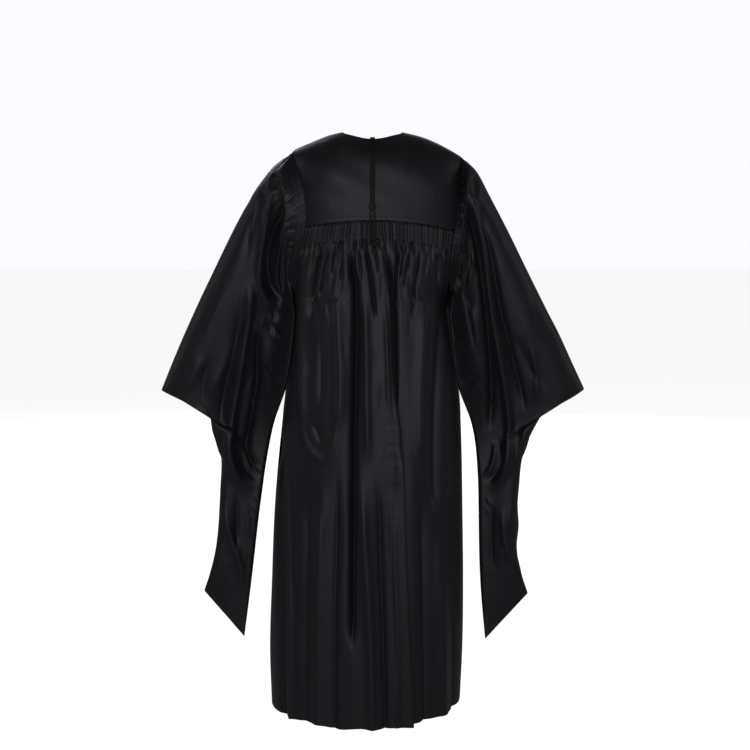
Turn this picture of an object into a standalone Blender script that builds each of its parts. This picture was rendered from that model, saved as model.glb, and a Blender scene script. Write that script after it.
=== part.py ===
"""A graduation gown with a yoke, gathered panels and long closed sleeves, hanging as it is worn.

Metres, +Z up. The front faces -Y, and the wearer's left is +X. The origin is the middle of the neck
opening, level with the neck points. Every piece of cloth is a thin wall: its outer face is worked out
from the gown's sizes, and its inner face lies WALL further in.
"""

import math

import bmesh
import bpy
import numpy as np
from mathutils import Vector

GOWN = "graduation_gown"

# The cloth
WALL = 0.002
SEAM_GAP = 0.0003
GATHER_DEPTH = 0.0016
# Steps that the surface's normals are measured over: degrees round, height, x, degrees over the shoulder
ANGLE_STEP = 0.4
HEIGHT_STEP = 0.002
X_STEP = 0.002
TURN_STEP = 1.0
BODY_MIDDLE = (0.0, 0.0, -0.25)
SHARP_ANGLE = 40.0

# Neck, yoke and closing
NECK_HALF_WIDTH = 0.073
NECK_DEPTH_BACK = 0.062
YOKE_BASE = -0.190
SHOULDER_POWER = 2.6
RIDGE_TOP = 0.002
RIDGE_FLAT = 0.030
RIDGE_CURVE = 2.05
SHOULDER_SEAM_TURN = 98.0
FRONT_YOKE_TURN = 138.0
YOKE_EDGE_MIDDLE = -0.183
YOKE_EDGE_LEFT = 0.145
YOKE_EDGE_RIGHT = 0.180
YOKE_DROP_LEFT = 0.017
YOKE_DROP_RIGHT = 0.026
NECK_POINT_FRONT = -0.125
ZIP_BOTTOM = -1.000
ZIP_CLOSE = 0.012
ZIP_HALF_GAP = 0.0065
UNDERARM = -0.360
HEM = -1.290

# The body's plan at each height: the reach to each side, and how round the plan is (2 is an ellipse).
# height, left, right, back, front, roundness
BODY_SECTIONS = (
    (-0.190, 0.178, 0.196, 0.120, 0.108, 2.50),
    (-0.300, 0.176, 0.180, 0.130, 0.115, 2.42),
    (-0.360, 0.1745, 0.1715, 0.137, 0.120, 2.35),
    (-0.420, 0.178, 0.1765, 0.144, 0.124, 2.30),
    (-0.500, 0.187, 0.185, 0.152, 0.129, 2.25),
    (-0.580, 0.196, 0.1945, 0.160, 0.134, 2.20),
    (-0.670, 0.206, 0.199, 0.167, 0.139, 2.15),
    (-0.830, 0.221, 0.203, 0.177, 0.147, 2.10),
    (-1.000, 0.229, 0.206, 0.186, 0.154, 2.05),
    (-1.170, 0.235, 0.2055, 0.192, 0.158, 2.00),
    (-1.290, 0.232, 0.201, 0.195, 0.160, 2.00),
)

# How far round from the side the armhole's edge lies, in degrees.
# height, left back, right back, left front, right front
ARMHOLES = (
    (0.000, 19.2, 11.2, 19.2, 11.2),
    (-0.060, 29.0, 15.5, 29.0, 25.0),
    (-0.100, 36.0, 19.4, 37.0, 35.0),
    (-0.150, 40.5, 24.5, 42.0, 41.0),
    (-0.200, 39.0, 25.4, 41.0, 40.0),
    (-0.250, 31.0, 25.0, 33.0, 32.0),
    (-0.300, 22.5, 21.0, 24.0, 23.0),
    (-0.335, 14.5, 14.5, 15.0, 15.0),
    (-0.352, 8.0, 8.0, 8.0, 8.0),
    (-0.360, 0.0, 0.0, 0.0, 0.0),
)

# The centre back seam and the edge of the loose pleat beside it.
# height, seam, pleat edge
BACK_LINES = (
    (-0.183, -0.018, -0.040),
    (-0.300, -0.027, -0.050),
    (-0.590, -0.040, -0.057),
    (-0.950, -0.042, -0.068),
    (-1.290, -0.056, -0.084),
)
PLEAT_START = -0.500
PLEAT_FULL = -0.640
PLEAT_DEPTH = 0.0124
PLEAT_WIDTH = 0.008

# Hanging folds, each a soft trough (-) or ridge (+) down the cloth between two points.
# side (back 1, front -1), top x, top z, bottom x, bottom z, width, depth
BODY_FOLDS = (
    (1, 0.115, -0.235, 0.126, -0.400, 0.010, -0.0060),
    (1, 0.098, -0.300, 0.096, -0.780, 0.026, 0.0080),
    (1, 0.042, -0.270, 0.043, -0.900, 0.014, -0.0090),
    (1, -0.001, -0.235, -0.001, -0.360, 0.009, -0.0060),
    (1, -0.098, -0.250, -0.100, -0.400, 0.010, -0.0070),
    (1, -0.115, -0.300, -0.118, -0.760, 0.017, 0.0070),
    (1, -0.152, -0.260, -0.158, -0.700, 0.012, -0.0080),
    (1, 0.168, -0.800, 0.170, -1.400, 0.017, 0.0060),
    (1, 0.140, -0.850, 0.142, -1.400, 0.014, -0.0060),
    (1, 0.108, -0.700, 0.111, -1.400, 0.019, 0.0070),
    (1, 0.050, -0.800, 0.046, -1.400, 0.015, -0.0080),
    (1, 0.016, -0.660, 0.014, -1.400, 0.018, 0.0080),
    (1, -0.020, -0.760, -0.022, -1.400, 0.013, -0.0070),
    (1, -0.118, -0.760, -0.116, -1.400, 0.014, -0.0080),
    (1, -0.150, -0.640, -0.146, -1.400, 0.018, 0.0080),
    (-1, 0.062, -0.180, 0.060, -0.700, 0.017, 0.0070),
    (-1, 0.095, -0.220, 0.094, -0.820, 0.014, -0.0080),
    (-1, 0.130, -0.250, 0.132, -0.900, 0.018, 0.0070),
    (-1, -0.058, -0.170, -0.062, -0.660, 0.017, 0.0070),
    (-1, -0.092, -0.220, -0.096, -0.860, 0.014, -0.0080),
    (-1, -0.128, -0.260, -0.124, -0.880, 0.018, 0.0070),
    (-1, 0.060, -0.780, 0.064, -1.400, 0.015, -0.0080),
    (-1, 0.100, -0.840, 0.104, -1.400, 0.019, 0.0080),
    (-1, 0.150, -0.800, 0.150, -1.400, 0.014, -0.0060),
    (-1, 0.184, -0.700, 0.182, -1.400, 0.016, 0.0060),
    (-1, -0.058, -0.760, -0.062, -1.400, 0.015, -0.0080),
    (-1, -0.096, -0.820, -0.098, -1.400, 0.019, 0.0080),
    (-1, -0.134, -0.780, -0.138, -1.400, 0.014, -0.0060),
    (-1, -0.168, -0.760, -0.166, -1.400, 0.016, 0.0060),
)
FOLD_FADE = 0.090

# Heights of the body's rows below its gathers
BODY_ROWS = (
    -0.285, -0.318, -0.345, UNDERARM, -0.400, -0.470, -0.560, -0.660, -0.770, -0.885, ZIP_BOTTOM,
    -1.100, -1.200, HEM,
)
FRONT_CHEST_ROWS = (NECK_POINT_FRONT, -0.155, -0.190, -0.237)
# The gathers below a yoke: the distance from its edge, and the share of their depth there
GATHER_ROWS = ((0.000, 0.0), (0.006, 1.0), (0.028, 0.9), (0.055, 0.5))
GATHERS_BACK_LEFT = 28
GATHERS_BACK_RIGHT = 24
GATHERS_FRONT = 16
BACK_COLUMNS = 22
FRONT_COLUMNS = 14

# How far a sleeve's back and front stand from its middle where they are sewn flat together
SEWN_FLAT = WALL + SEAM_GAP / 2

# A sleeve's sections, from the armhole to the end of its tail. The outer and inner ends are in the
# plane of the arms, and the depths are how far the cloth stands out from that plane.
# outer x, outer z, inner x, inner z, depth, inner depth, mouth, middle y
LEFT_SLEEVE = (
    (0.196, -0.058, 0.1795, -0.362, 0.088, 0.040, 0.000, 0.000),
    (0.224, -0.081, 0.1790, -0.388, 0.074, 0.022, 0.000, 0.001),
    (0.262, -0.131, 0.1820, -0.434, 0.066, 0.014, 0.000, 0.002),
    (0.305, -0.208, 0.1880, -0.488, 0.060, 0.012, 0.000, 0.002),
    (0.350, -0.298, 0.1950, -0.542, 0.056, 0.011, 0.000, 0.000),
    (0.395, -0.390, 0.2080, -0.592, 0.052, 0.010, 0.000, -0.003),
    (0.436, -0.480, 0.2215, -0.636, 0.048, 0.010, 0.000, -0.006),
    (0.473, -0.568, 0.2320, -0.692, 0.044, 0.010, 0.000, -0.008),
    (0.424, -0.584, 0.2370, -0.717, 0.042, 0.010, 0.034, -0.008),
    (0.377, -0.601, 0.2410, -0.741, 0.038, 0.010, 0.036, -0.006),
    (0.356, -0.650, 0.2450, -0.766, 0.032, 0.010, 0.024, -0.004),
    (0.341, -0.718, 0.2480, -0.792, 0.024, 0.010, 0.000, 0.000),
    (0.344, -0.795, 0.2550, -0.838, 0.021, 0.010, 0.000, 0.003),
    (0.348, -0.865, 0.2620, -0.896, 0.020, 0.010, 0.000, 0.005),
    (0.356, -0.932, 0.2700, -0.964, 0.019, 0.010, 0.000, 0.006),
    (0.369, -0.986, 0.2800, -1.044, 0.015, 0.009, 0.000, 0.007),
    (0.383, -1.029, 0.2930, -1.137, SEWN_FLAT, SEWN_FLAT, 0.000, 0.008),
)
RIGHT_SLEEVE = (
    (0.210, -0.064, 0.1765, -0.364, 0.080, 0.038, 0.000, 0.000),
    (0.234, -0.094, 0.1772, -0.392, 0.072, 0.022, 0.000, 0.001),
    (0.266, -0.152, 0.1807, -0.436, 0.066, 0.014, 0.000, 0.002),
    (0.303, -0.222, 0.1860, -0.488, 0.062, 0.012, 0.000, 0.002),
    (0.346, -0.308, 0.1930, -0.542, 0.059, 0.011, 0.000, 0.000),
    (0.390, -0.394, 0.2075, -0.592, 0.056, 0.010, 0.000, -0.003),
    (0.433, -0.480, 0.2225, -0.636, 0.052, 0.010, 0.000, -0.006),
    (0.474, -0.566, 0.2320, -0.694, 0.047, 0.010, 0.000, -0.008),
    (0.436, -0.584, 0.2340, -0.717, 0.044, 0.010, 0.034, -0.008),
    (0.393, -0.601, 0.2360, -0.741, 0.041, 0.010, 0.036, -0.006),
    (0.362, -0.650, 0.2375, -0.766, 0.036, 0.011, 0.024, -0.004),
    (0.338, -0.718, 0.2385, -0.792, 0.029, 0.012, 0.000, 0.000),
    (0.330, -0.795, 0.2395, -0.840, 0.026, 0.012, 0.000, 0.003),
    (0.326, -0.870, 0.2405, -0.900, 0.025, 0.012, 0.000, 0.005),
    (0.328, -0.940, 0.2420, -0.966, 0.022, 0.012, 0.000, 0.006),
    (0.339, -0.992, 0.2470, -1.050, 0.015, 0.009, 0.000, 0.007),
    (0.353, -1.035, 0.2570, -1.143, SEWN_FLAT, SEWN_FLAT, 0.000, 0.008),
)
MOUTH_ROWS = (8, 10)
# Rows between the armhole and the first sections: how far along, and the gathers' share of their depth
SLEEVE_HEAD_ROWS = ((0.00, 0.0), (0.13, 1.0), (0.38, 0.9))
SLEEVE_PLAIN_UNDERARM = (0.10, 0.24)
UNDERARM_TURN = 0.10
UNDERARM_ROWS = 6
SLEEVE_SHOULDER_ROW = 0.70
SLEEVE_GATHER_STEP = 0.009
SLEEVE_SEAM_SHIFT = 1.4
# A section's round outer end and its round inner end, as shares of its length
ARM_MOST = 0.45
ARM_END = 0.92
TIP_RATIO = 1.2
TIP_MOST = 0.12
SLEEVE_FOLD_ENDS = 0.2
SLEEVE_COLUMNS = (0.0, 0.03, 0.09, 0.17, 0.26, 0.36, 0.47, 0.58, 0.69, 0.79, 0.88, 0.95, 0.985, 1.0)

# Folds in the sleeves, each from one point to another in the plane of the arms.
# side (back 1, front -1), first x, first z, second x, second z, width, depth
SLEEVE_FOLDS = (
    (1, 0.236, -0.330, 0.268, -0.720, 0.013, -0.0080),
    (1, 0.268, -0.230, 0.292, -0.740, 0.018, 0.0080),
    (1, 0.330, -0.330, 0.330, -0.620, 0.020, -0.0030),
    (1, 0.336, -0.735, 0.268, -0.705, 0.012, -0.0060),
    (1, 0.316, -0.800, 0.312, -1.020, 0.014, 0.0050),
    (1, 0.345, -0.470, 0.425, -0.530, 0.016, -0.0050),
    (-1, 0.240, -0.340, 0.270, -0.700, 0.013, -0.0080),
    (-1, 0.276, -0.260, 0.300, -0.720, 0.018, 0.0070),
    (-1, 0.325, -0.340, 0.336, -0.600, 0.018, -0.0060),
    (-1, 0.338, -0.745, 0.270, -0.715, 0.012, -0.0060),
    (-1, 0.312, -0.810, 0.316, -1.010, 0.014, 0.0050),
)

# Columns and rows of the yokes
YOKE_NECK_COLUMNS = 13
YOKE_SHOULDER_COLUMNS = 4
YOKE_ROWS = 8
FRONT_YOKE_COLUMNS = 7
FRONT_YOKE_ROWS = 4
SHOULDER_RADIUS = 0.05
SEAM_TURN = math.degrees(SEAM_GAP / 2 / SHOULDER_RADIUS)
FRONT_GATHER_SLOPE = 0.70

# Trim on the back
CORD_WIDTH = 0.010
CORD_THICKNESS = 0.0018
BUTTON_RADIUS = 0.0085
BUTTON_HEIGHT = -0.156
BUTTON_FLATNESS = 0.32
BUTTON_SEGMENTS = 16
BUTTON_RINGS = 8
CORD_END = 0.9
LOOP_HALF_GAP = 0.0042
LOOP_STRAND = 0.0021
LOOP_LIFT = 0.0022
LOOP_END = -0.232
LOOP_POINTS = 9
LOOP_BEND_POINTS = 6

# Zip
TAPE_REACH = 0.016
TAPE_INNER_EDGE = 0.0009
TAPE_THICKNESS = 0.0010
SLIDER_HEIGHT = -0.150
SLIDER_SIZE = (0.0086, 0.0030, 0.0120)
BRIDGE_WIDTH = 0.0016
BRIDGE_LENGTH = 0.0072
BRIDGE_CLEARANCE = 0.0022
BRIDGE_THICKNESS = 0.0009
BRIDGE_POST = 0.0010
TAB_SIZE = (0.0064, 0.0014, 0.0300)
TAB_BAR = 0.0013
TAB_EYE = (0.0034, 0.0050)

# Colours (linear) and finish: red, green, blue, roughness, metallic
CLOTH = (0.010, 0.010, 0.013, 0.48, 0.0)
CORD = (0.012, 0.012, 0.009, 0.85, 0.0)
TAPE = (0.008, 0.008, 0.009, 0.80, 0.0)
METAL = (0.030, 0.030, 0.032, 0.35, 1.0)


def follow(table, column, at):
    """Smooth curve through one column of a table, as a function of the table's first column."""
    rows = sorted(table)
    place = np.array([row[0] for row in rows])
    value = np.array([row[column] for row in rows])
    slope = np.gradient(value, place)
    at = np.clip(at, place[0], place[-1])
    k = np.clip(np.searchsorted(place, at) - 1, 0, len(place) - 2)
    step = place[k + 1] - place[k]
    t = (at - place[k]) / step
    return (
        (1 + 2 * t) * (1 - t) ** 2 * value[k]
        + t * (1 - t) ** 2 * step * slope[k]
        + t * t * (3 - 2 * t) * value[k + 1]
        + t * t * (t - 1) * step * slope[k + 1]
    )


def ease(low, high, at):
    """0 below low, 1 above high, and a smooth rise between them."""
    t = np.clip((np.asarray(at, float) - low) / (high - low), 0, 1)
    return t * t * (3 - 2 * t)


def ridge(x):
    """Height of the shoulder's ridge at a distance from the middle."""
    return RIDGE_TOP - RIDGE_CURVE * np.maximum(np.abs(x) - RIDGE_FLAT, 0) ** 2


def height_of_turn(turn):
    """Height on the yoke at an angle over the shoulder: 0 low on the back, 90 on the ridge, 180 in front."""
    return YOKE_BASE * (1 - np.abs(np.sin(np.radians(turn))) ** (2 / SHOULDER_POWER))


def turn_of_height(height):
    """Angle over the shoulder, from 0 to 90, that a height on the yoke has."""
    rise = np.clip(1 - np.asarray(height, float) / YOKE_BASE, 0, 1)
    return np.degrees(np.arcsin(rise ** (SHOULDER_POWER / 2)))


def body(angle, height):
    """Point on the smooth body: an angle in degrees from the wearer's left, the back positive."""
    angle = np.radians(np.asarray(angle, float))
    height = np.asarray(height, float) + 0 * angle
    angle = angle + 0 * height
    level = np.minimum(height, YOKE_BASE)
    power = 2 / follow(BODY_SECTIONS, 5, level)
    cosine, sine = np.cos(angle), np.sin(angle)
    reach = np.where(cosine > 0, follow(BODY_SECTIONS, 1, level), follow(BODY_SECTIONS, 2, level))
    depth = np.where(sine > 0, follow(BODY_SECTIONS, 3, level), follow(BODY_SECTIONS, 4, level))
    rise = np.clip(1 - height / YOKE_BASE, 0, 1)
    shrink = (1 - rise**SHOULDER_POWER) ** (1 / SHOULDER_POWER)
    x = reach * np.sign(cosine) * np.abs(cosine) ** power
    y = depth * np.sign(sine) * np.abs(sine) ** power * shrink
    z = np.where(height > YOKE_BASE, YOKE_BASE + (ridge(x) - YOKE_BASE) * rise, height)
    return np.stack([x, y, z], axis=-1)


def angle_at(x, height, side):
    """The angle at which the body's section at this height reaches x, on the back (1) or front (-1)."""
    level = np.minimum(height, YOKE_BASE)
    x = np.asarray(x, float)
    reach = np.where(x > 0, follow(BODY_SECTIONS, 1, level), follow(BODY_SECTIONS, 2, level))
    cosine = np.sign(x) * (np.abs(x) / reach) ** (follow(BODY_SECTIONS, 5, level) / 2)
    return side * np.degrees(np.arccos(np.clip(cosine, -1, 1)))


def over_shoulder(x, turn):
    """Point on the yoke's smooth surface at a distance from the middle and an angle over the shoulder."""
    x, turn = np.broadcast_arrays(np.asarray(x, float), np.asarray(turn, float))
    height = np.minimum(height_of_turn(turn), -1e-9)
    angle = angle_at(x, YOKE_BASE, 1)
    return body(np.where(turn <= 90, angle, -angle), height)


def outward(surface, first, second, first_step, second_step):
    """Unit normals of a surface of two parameters, pointing away from the middle of the body."""
    along = surface(first + first_step, second) - surface(first - first_step, second)
    across = surface(first, second + second_step) - surface(first, second - second_step)
    normal = np.cross(along, across)
    normal /= np.linalg.norm(normal, axis=-1, keepdims=True)
    away = surface(first, second) - np.array(BODY_MIDDLE)
    away[..., 2] = np.maximum(away[..., 2], 0)
    flip = np.sign((normal * away).sum(axis=-1))
    return normal * flip[..., None]


def folded(points):
    """How far the hanging folds and the loose pleat move points of the smooth body outwards."""
    x, y, z = points[..., 0], points[..., 1], points[..., 2]
    moved = np.zeros(x.shape)
    for side, top_x, top_z, low_x, low_z, width, depth in BODY_FOLDS:
        line = top_x + (low_x - top_x) * (z - top_z) / (low_z - top_z)
        ends = ease(low_z, low_z + FOLD_FADE, z) * ease(-top_z, -top_z + FOLD_FADE, -z)
        moved += np.where(y * side > 0, depth * ends * np.exp(-(((x - line) / width) ** 2)), 0)
    edge = (x - follow(BACK_LINES, 2, z)) / PLEAT_WIDTH
    step = PLEAT_DEPTH * edge * np.exp(-(edge**2) / 2) * ease(-PLEAT_START, -PLEAT_FULL, -z)
    return moved + np.where(y > 0, step, 0)


def spread(first, last, height, shares):
    """Angles between two angles of a section, at these shares of the cloth's length between them."""
    fine = np.linspace(first, last, 400)
    points = body(fine, height)[:, :2]
    length = np.concatenate([[0], np.cumsum(np.linalg.norm(np.diff(points, axis=0), axis=1))])
    return np.interp(np.asarray(shares) * length[-1], length, fine)


def stitch(lower, upper):
    """Triangles between two rows, each a list of (place along the row, vertex)."""
    triangles = []
    i = j = 0
    while i < len(lower) - 1 or j < len(upper) - 1:
        last = j == len(upper) - 1
        if last or (i < len(lower) - 1 and lower[i + 1][0] <= upper[j + 1][0] + 1e-9):
            triangles.append((lower[i][1], lower[i + 1][1], upper[j][1]))
            i += 1
        else:
            triangles.append((lower[i][1], upper[j + 1][1], upper[j][1]))
            j += 1
    return triangles


def without_slivers(triangles):
    """The triangles whose three corners differ."""
    return [face for face in triangles if len(set(face)) == 3]


def vertex_normals(points, triangles):
    """Unit normals of an open sheet, each the sum of its triangles' normals."""
    corners = points[np.array(triangles)]
    face = np.cross(corners[:, 1] - corners[:, 0], corners[:, 2] - corners[:, 0])
    normals = np.zeros(points.shape)
    for corner in range(3):
        np.add.at(normals, np.array(triangles)[:, corner], face)
    return normals / np.linalg.norm(normals, axis=1, keepdims=True)


def thick(outer, normals, triangles, wall=WALL):
    """A closed wall from the triangles of its outer face: its points and faces."""
    count = len(outer)
    points = np.concatenate([outer, outer - wall * normals])
    faces = list(triangles) + [(a + count, c + count, b + count) for a, b, c in triangles]
    edges = {(face[k], face[(k + 1) % 3]) for face in triangles for k in range(3)}
    for a, b in sorted(edges):
        if (b, a) not in edges:
            faces += [(b, a, a + count), (b, a + count, b + count)]
    return points, faces


def material(name, finish):
    """A plain finish for one piece."""
    red, green, blue, roughness, metallic = finish
    made = bpy.data.materials.new(name)
    made.use_nodes = True
    shader = made.node_tree.nodes["Principled BSDF"]
    shader.inputs["Base Color"].default_value = (red, green, blue, 1)
    shader.inputs["Roughness"].default_value = roughness
    shader.inputs["Metallic"].default_value = metallic
    made.diffuse_color = (red, green, blue, 1)
    return made


def add_mesh(name, points, faces, finish):
    """An object of this mesh, its faces pointing out, in the gown's collection."""
    mesh = bpy.data.meshes.new(name)
    mesh.from_pydata([tuple(point) for point in points], [], faces)
    solid = bmesh.new()
    solid.from_mesh(mesh)
    if solid.calc_volume(signed=True) < 0:
        bmesh.ops.reverse_faces(solid, faces=solid.faces)
    solid.to_mesh(mesh)
    solid.free()
    mesh.shade_smooth()
    mesh.set_sharp_from_angle(angle=math.radians(SHARP_ANGLE))
    return add_object(name, mesh, finish)


def add_object(name, mesh, finish):
    """An object that holds this mesh, in the gown's collection."""
    mesh.materials.clear()
    mesh.materials.append(material(name, finish))
    made = bpy.data.objects.new(name, mesh)
    bpy.data.collections[GOWN].objects.link(made)
    return made


class Rows:
    """A sheet of cloth built up row by row, each row with its own number of points."""

    def __init__(self):
        self.base, self.shift, self.rows, self.normals = [], [], [], []

    def add(self, points, places, shift=None, normals=None):
        """Adds a row of points and says how far each is moved along its normal."""
        first = len(self.base)
        self.base += list(points)
        self.shift += list(np.zeros(len(points)) if shift is None else shift)
        if normals is not None:
            self.normals += list(normals)
        self.rows.append([(place, first + k) for k, place in enumerate(places)])

    def triangles(self, low=0.0, high=2.0):
        """The sheet's triangles, row to row, between two places along the rows."""
        rows = [[point for point in row if low <= point[0] <= high] for row in self.rows]
        faces = []
        for lower, upper in zip(rows, rows[1:]):
            faces += stitch(lower, upper)
        return without_slivers(faces)

    def wall(self, triangles, wall=WALL):
        """The closed wall of the sheet: its points and faces."""
        base = np.array(self.base)
        normals = np.array(self.normals) if self.normals else vertex_normals(base, triangles)
        return thick(base + np.array(self.shift)[:, None] * normals, normals, triangles, wall)


def outer_edge(side, face, height):
    """Angle of a panel's outer edge: the armhole's edge, and the side seam below it.

    Side is 1 for the wearer's left and -1 for the right, and face is 1 for the back.
    """
    column = {(1, 1): 1, (-1, 1): 2, (1, -1): 3, (-1, -1): 4}[(side, face)]
    half_gap = np.degrees(SEAM_GAP / 2 / follow(BODY_SECTIONS, 4, min(height, YOKE_BASE)))
    degrees = max(float(follow(ARMHOLES, column, height)), float(half_gap))
    return face * (degrees if side > 0 else 180 - degrees)


def yoke_edge(x):
    """Height of the back yoke's lower edge: an arch that drops to the armholes."""
    left, right = np.maximum(x, 0) / YOKE_EDGE_LEFT, np.maximum(-x, 0) / YOKE_EDGE_RIGHT
    return YOKE_EDGE_MIDDLE - YOKE_DROP_LEFT * left**2 - YOKE_DROP_RIGHT * right**2


def yoke_corner(side):
    """Height at which the back yoke's lower edge meets an armhole."""
    reach = body(outer_edge(side, 1, YOKE_BASE), YOKE_BASE)[0]
    return float(yoke_edge(reach))


def front_opening(height):
    """How far the front's inner edge lies from the middle: the V neck, the zip, and the seam below it."""
    neck = np.interp(height, (NECK_POINT_FRONT, 0), (ZIP_HALF_GAP, NECK_HALF_WIDTH))
    below = np.interp(height, (ZIP_BOTTOM - ZIP_CLOSE, ZIP_BOTTOM), (SEAM_GAP / 2, ZIP_HALF_GAP))
    return float(np.where(height > ZIP_BOTTOM, neck, below))


def gathered(count, share):
    """How far the gathers move each of a row's points, in and out by turns, with plain ends."""
    moved = GATHER_DEPTH * share * np.where(np.arange(count) % 2, 1.0, -1.0)
    moved[[0, -1]] = 0
    return moved


def body_normals(angles, heights):
    """Unit normals of the smooth body."""
    return outward(body, angles, heights, ANGLE_STEP, HEIGHT_STEP)


def shoulder_normals(xs, turns):
    """Unit normals of the smooth yoke."""
    return outward(over_shoulder, xs, turns, X_STEP, TURN_STEP)


def panel_row(sheet, edges, level, shares, gather=0.0, arch=0.0):
    """Adds one row of a body panel between two angles, with its folds and its gathers.

    Level is the row's height at the middle, and arch the share of the yoke edge's arch that it follows.
    """
    angles = spread(*edges, level, shares)
    heights = level + arch * (yoke_edge(body(angles, level)[:, 0]) - YOKE_EDGE_MIDDLE)
    points = body(angles, heights)
    shift = folded(points) * (1 - gather) + gathered(len(angles), gather)
    sheet.add(points, shares, shift, body_normals(angles, heights))


def back_panel(side):
    """Half of the back, from the side seam to the centre back seam, side 1 the wearer's left."""
    sheet = Rows()
    gathers = GATHERS_BACK_LEFT if side > 0 else GATHERS_BACK_RIGHT
    fine = np.linspace(0, 1, 2 * gathers + 1)
    coarse = np.linspace(0, 1, BACK_COLUMNS + 1)
    corner = yoke_corner(side)

    def middle(height):
        """Angle of the centre back seam's edge on this half."""
        seam = float(follow(BACK_LINES, 1, height)) + side * SEAM_GAP / 2
        return float(angle_at(seam, height, 1))

    for drop, share in GATHER_ROWS:
        below = drop + SEAM_GAP
        level = YOKE_EDGE_MIDDLE - below
        edges = (outer_edge(side, 1, corner - below), middle(level))
        panel_row(sheet, edges, level, fine, share, 1.0)
    for height in BODY_ROWS:
        panel_row(sheet, (outer_edge(side, 1, height), middle(height)), height, coarse)
    return sheet


def front_panel(side):
    """Half of the front, from the side seam to the zip, side 1 the wearer's left."""
    sheet = Rows()
    fine = np.linspace(0, 1, 2 * GATHERS_FRONT + 1)
    coarse = np.linspace(0, 1, FRONT_COLUMNS + 1)
    edge = float(height_of_turn(FRONT_YOKE_TURN)) - SEAM_GAP

    def middle(height):
        """Angle of the inner edge."""
        return float(angle_at(side * front_opening(height), height, -1))

    for drop, share in GATHER_ROWS:
        height = edge - drop * FRONT_GATHER_SLOPE
        panel_row(sheet, (outer_edge(side, -1, height), middle(height)), height, fine, share)
    for height in FRONT_CHEST_ROWS + BODY_ROWS:
        panel_row(sheet, (outer_edge(side, -1, height), middle(height)), height, coarse)
    return sheet


def yoke_row(sheet, xs, turns, places):
    """Adds one row of a yoke over the shoulders."""
    sheet.add(over_shoulder(xs, turns), places, None, shoulder_normals(xs, turns))


def armhole_x(side, turn):
    """How far the armhole's edge lies from the middle, at an angle over the shoulder."""
    face = 1 if turn <= 90 else -1
    height = float(height_of_turn(turn))
    return float(body(outer_edge(side, face, height), height)[0])


def neck_turn(x):
    """Angle over the shoulder at which the back neckline, half an ellipse, crosses x."""
    across = NECK_DEPTH_BACK * np.sqrt(np.maximum(1 - (x / NECK_HALF_WIDTH) ** 2, 0))
    depth = over_shoulder(x, 0.0)[..., 1]
    return np.degrees(np.arccos((across / depth) ** (SHOULDER_POWER / 2)))


def back_yoke():
    """The back yoke, from its arched lower edge to the neckline and the shoulder seams."""
    sheet = Rows()
    neck = NECK_HALF_WIDTH * np.sin(np.radians(np.linspace(90, -90, YOKE_NECK_COLUMNS)))
    outside = np.linspace(1, 0, YOKE_SHOULDER_COLUMNS, endpoint=False)
    seam = SHOULDER_SEAM_TURN - SEAM_TURN
    shoulder = np.full(len(outside) + 1, seam)
    top = np.concatenate([shoulder, neck_turn(neck[1:-1]), shoulder])
    places = np.linspace(0, 1, len(top))

    def across(reach_left, reach_right):
        """Where the columns lie between the two armholes."""
        left = NECK_HALF_WIDTH + (reach_left - NECK_HALF_WIDTH) * outside
        right = -NECK_HALF_WIDTH + (reach_right + NECK_HALF_WIDTH) * outside[::-1]
        return np.concatenate([left, neck, right])

    corners = [yoke_corner(side) for side in (1, -1)]
    ends = [outer_edge(side, 1, height) for side, height in zip((1, -1), corners)]
    xs = across(*(float(body(angle, height)[0]) for angle, height in zip(ends, corners)))
    angles = angle_at(xs, YOKE_BASE, 1)
    angles[[0, -1]] = ends
    heights = yoke_edge(xs)
    heights[[0, -1]] = corners
    sheet.add(body(angles, heights), places, None, body_normals(angles, heights))
    for share in np.linspace(0, 1, YOKE_ROWS)[1:]:
        turns = top * share
        xs = across(armhole_x(1, turns[0]), armhole_x(-1, turns[-1]))
        yoke_row(sheet, xs, turns, places)
    return sheet


def front_yoke(side):
    """The short front end of the yoke, from the shoulder seam to the gathers."""
    sheet = Rows()
    places = np.linspace(0, 1, FRONT_YOKE_COLUMNS)
    for turn in np.linspace(SHOULDER_SEAM_TURN + SEAM_TURN, FRONT_YOKE_TURN, FRONT_YOKE_ROWS):
        inner = side * front_opening(float(height_of_turn(turn)))
        xs = inner + (armhole_x(side, turn) - inner) * (1 - places)
        yoke_row(sheet, xs, np.full(len(xs), turn), places)
    return sheet


def section(values, around):
    """Points round one section of a sleeve: around is 0 to 1 down its back and 1 to 2 up its front."""
    outer_x, outer_z, inner_x, inner_z, depth, inner_depth, mouth, middle = values
    back = np.where(around < 1, 1.0, -1.0)
    share = np.where(around < 1, around, 2 - around)
    length = math.hypot(outer_x - inner_x, outer_z - inner_z)
    arm = min(depth / length, ARM_MOST)
    tip = min(TIP_RATIO * inner_depth / length, TIP_MOST)
    round_outer = np.sqrt(1 - (1 - np.clip(share / arm, 0, 1)) ** 2)
    round_inner = np.sqrt(1 - np.clip((share - 1 + tip) / tip, 0, 1) ** 2)
    narrowing = inner_depth + (depth - inner_depth) * (1 - ease(arm, ARM_END, share))
    out = np.where(share > arm, narrowing, mouth + (depth - mouth) * round_outer)
    x = outer_x + (inner_x - outer_x) * share
    z = outer_z + (inner_z - outer_z) * share
    return np.stack([x, middle + back * out * round_inner, z], axis=-1)


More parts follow.
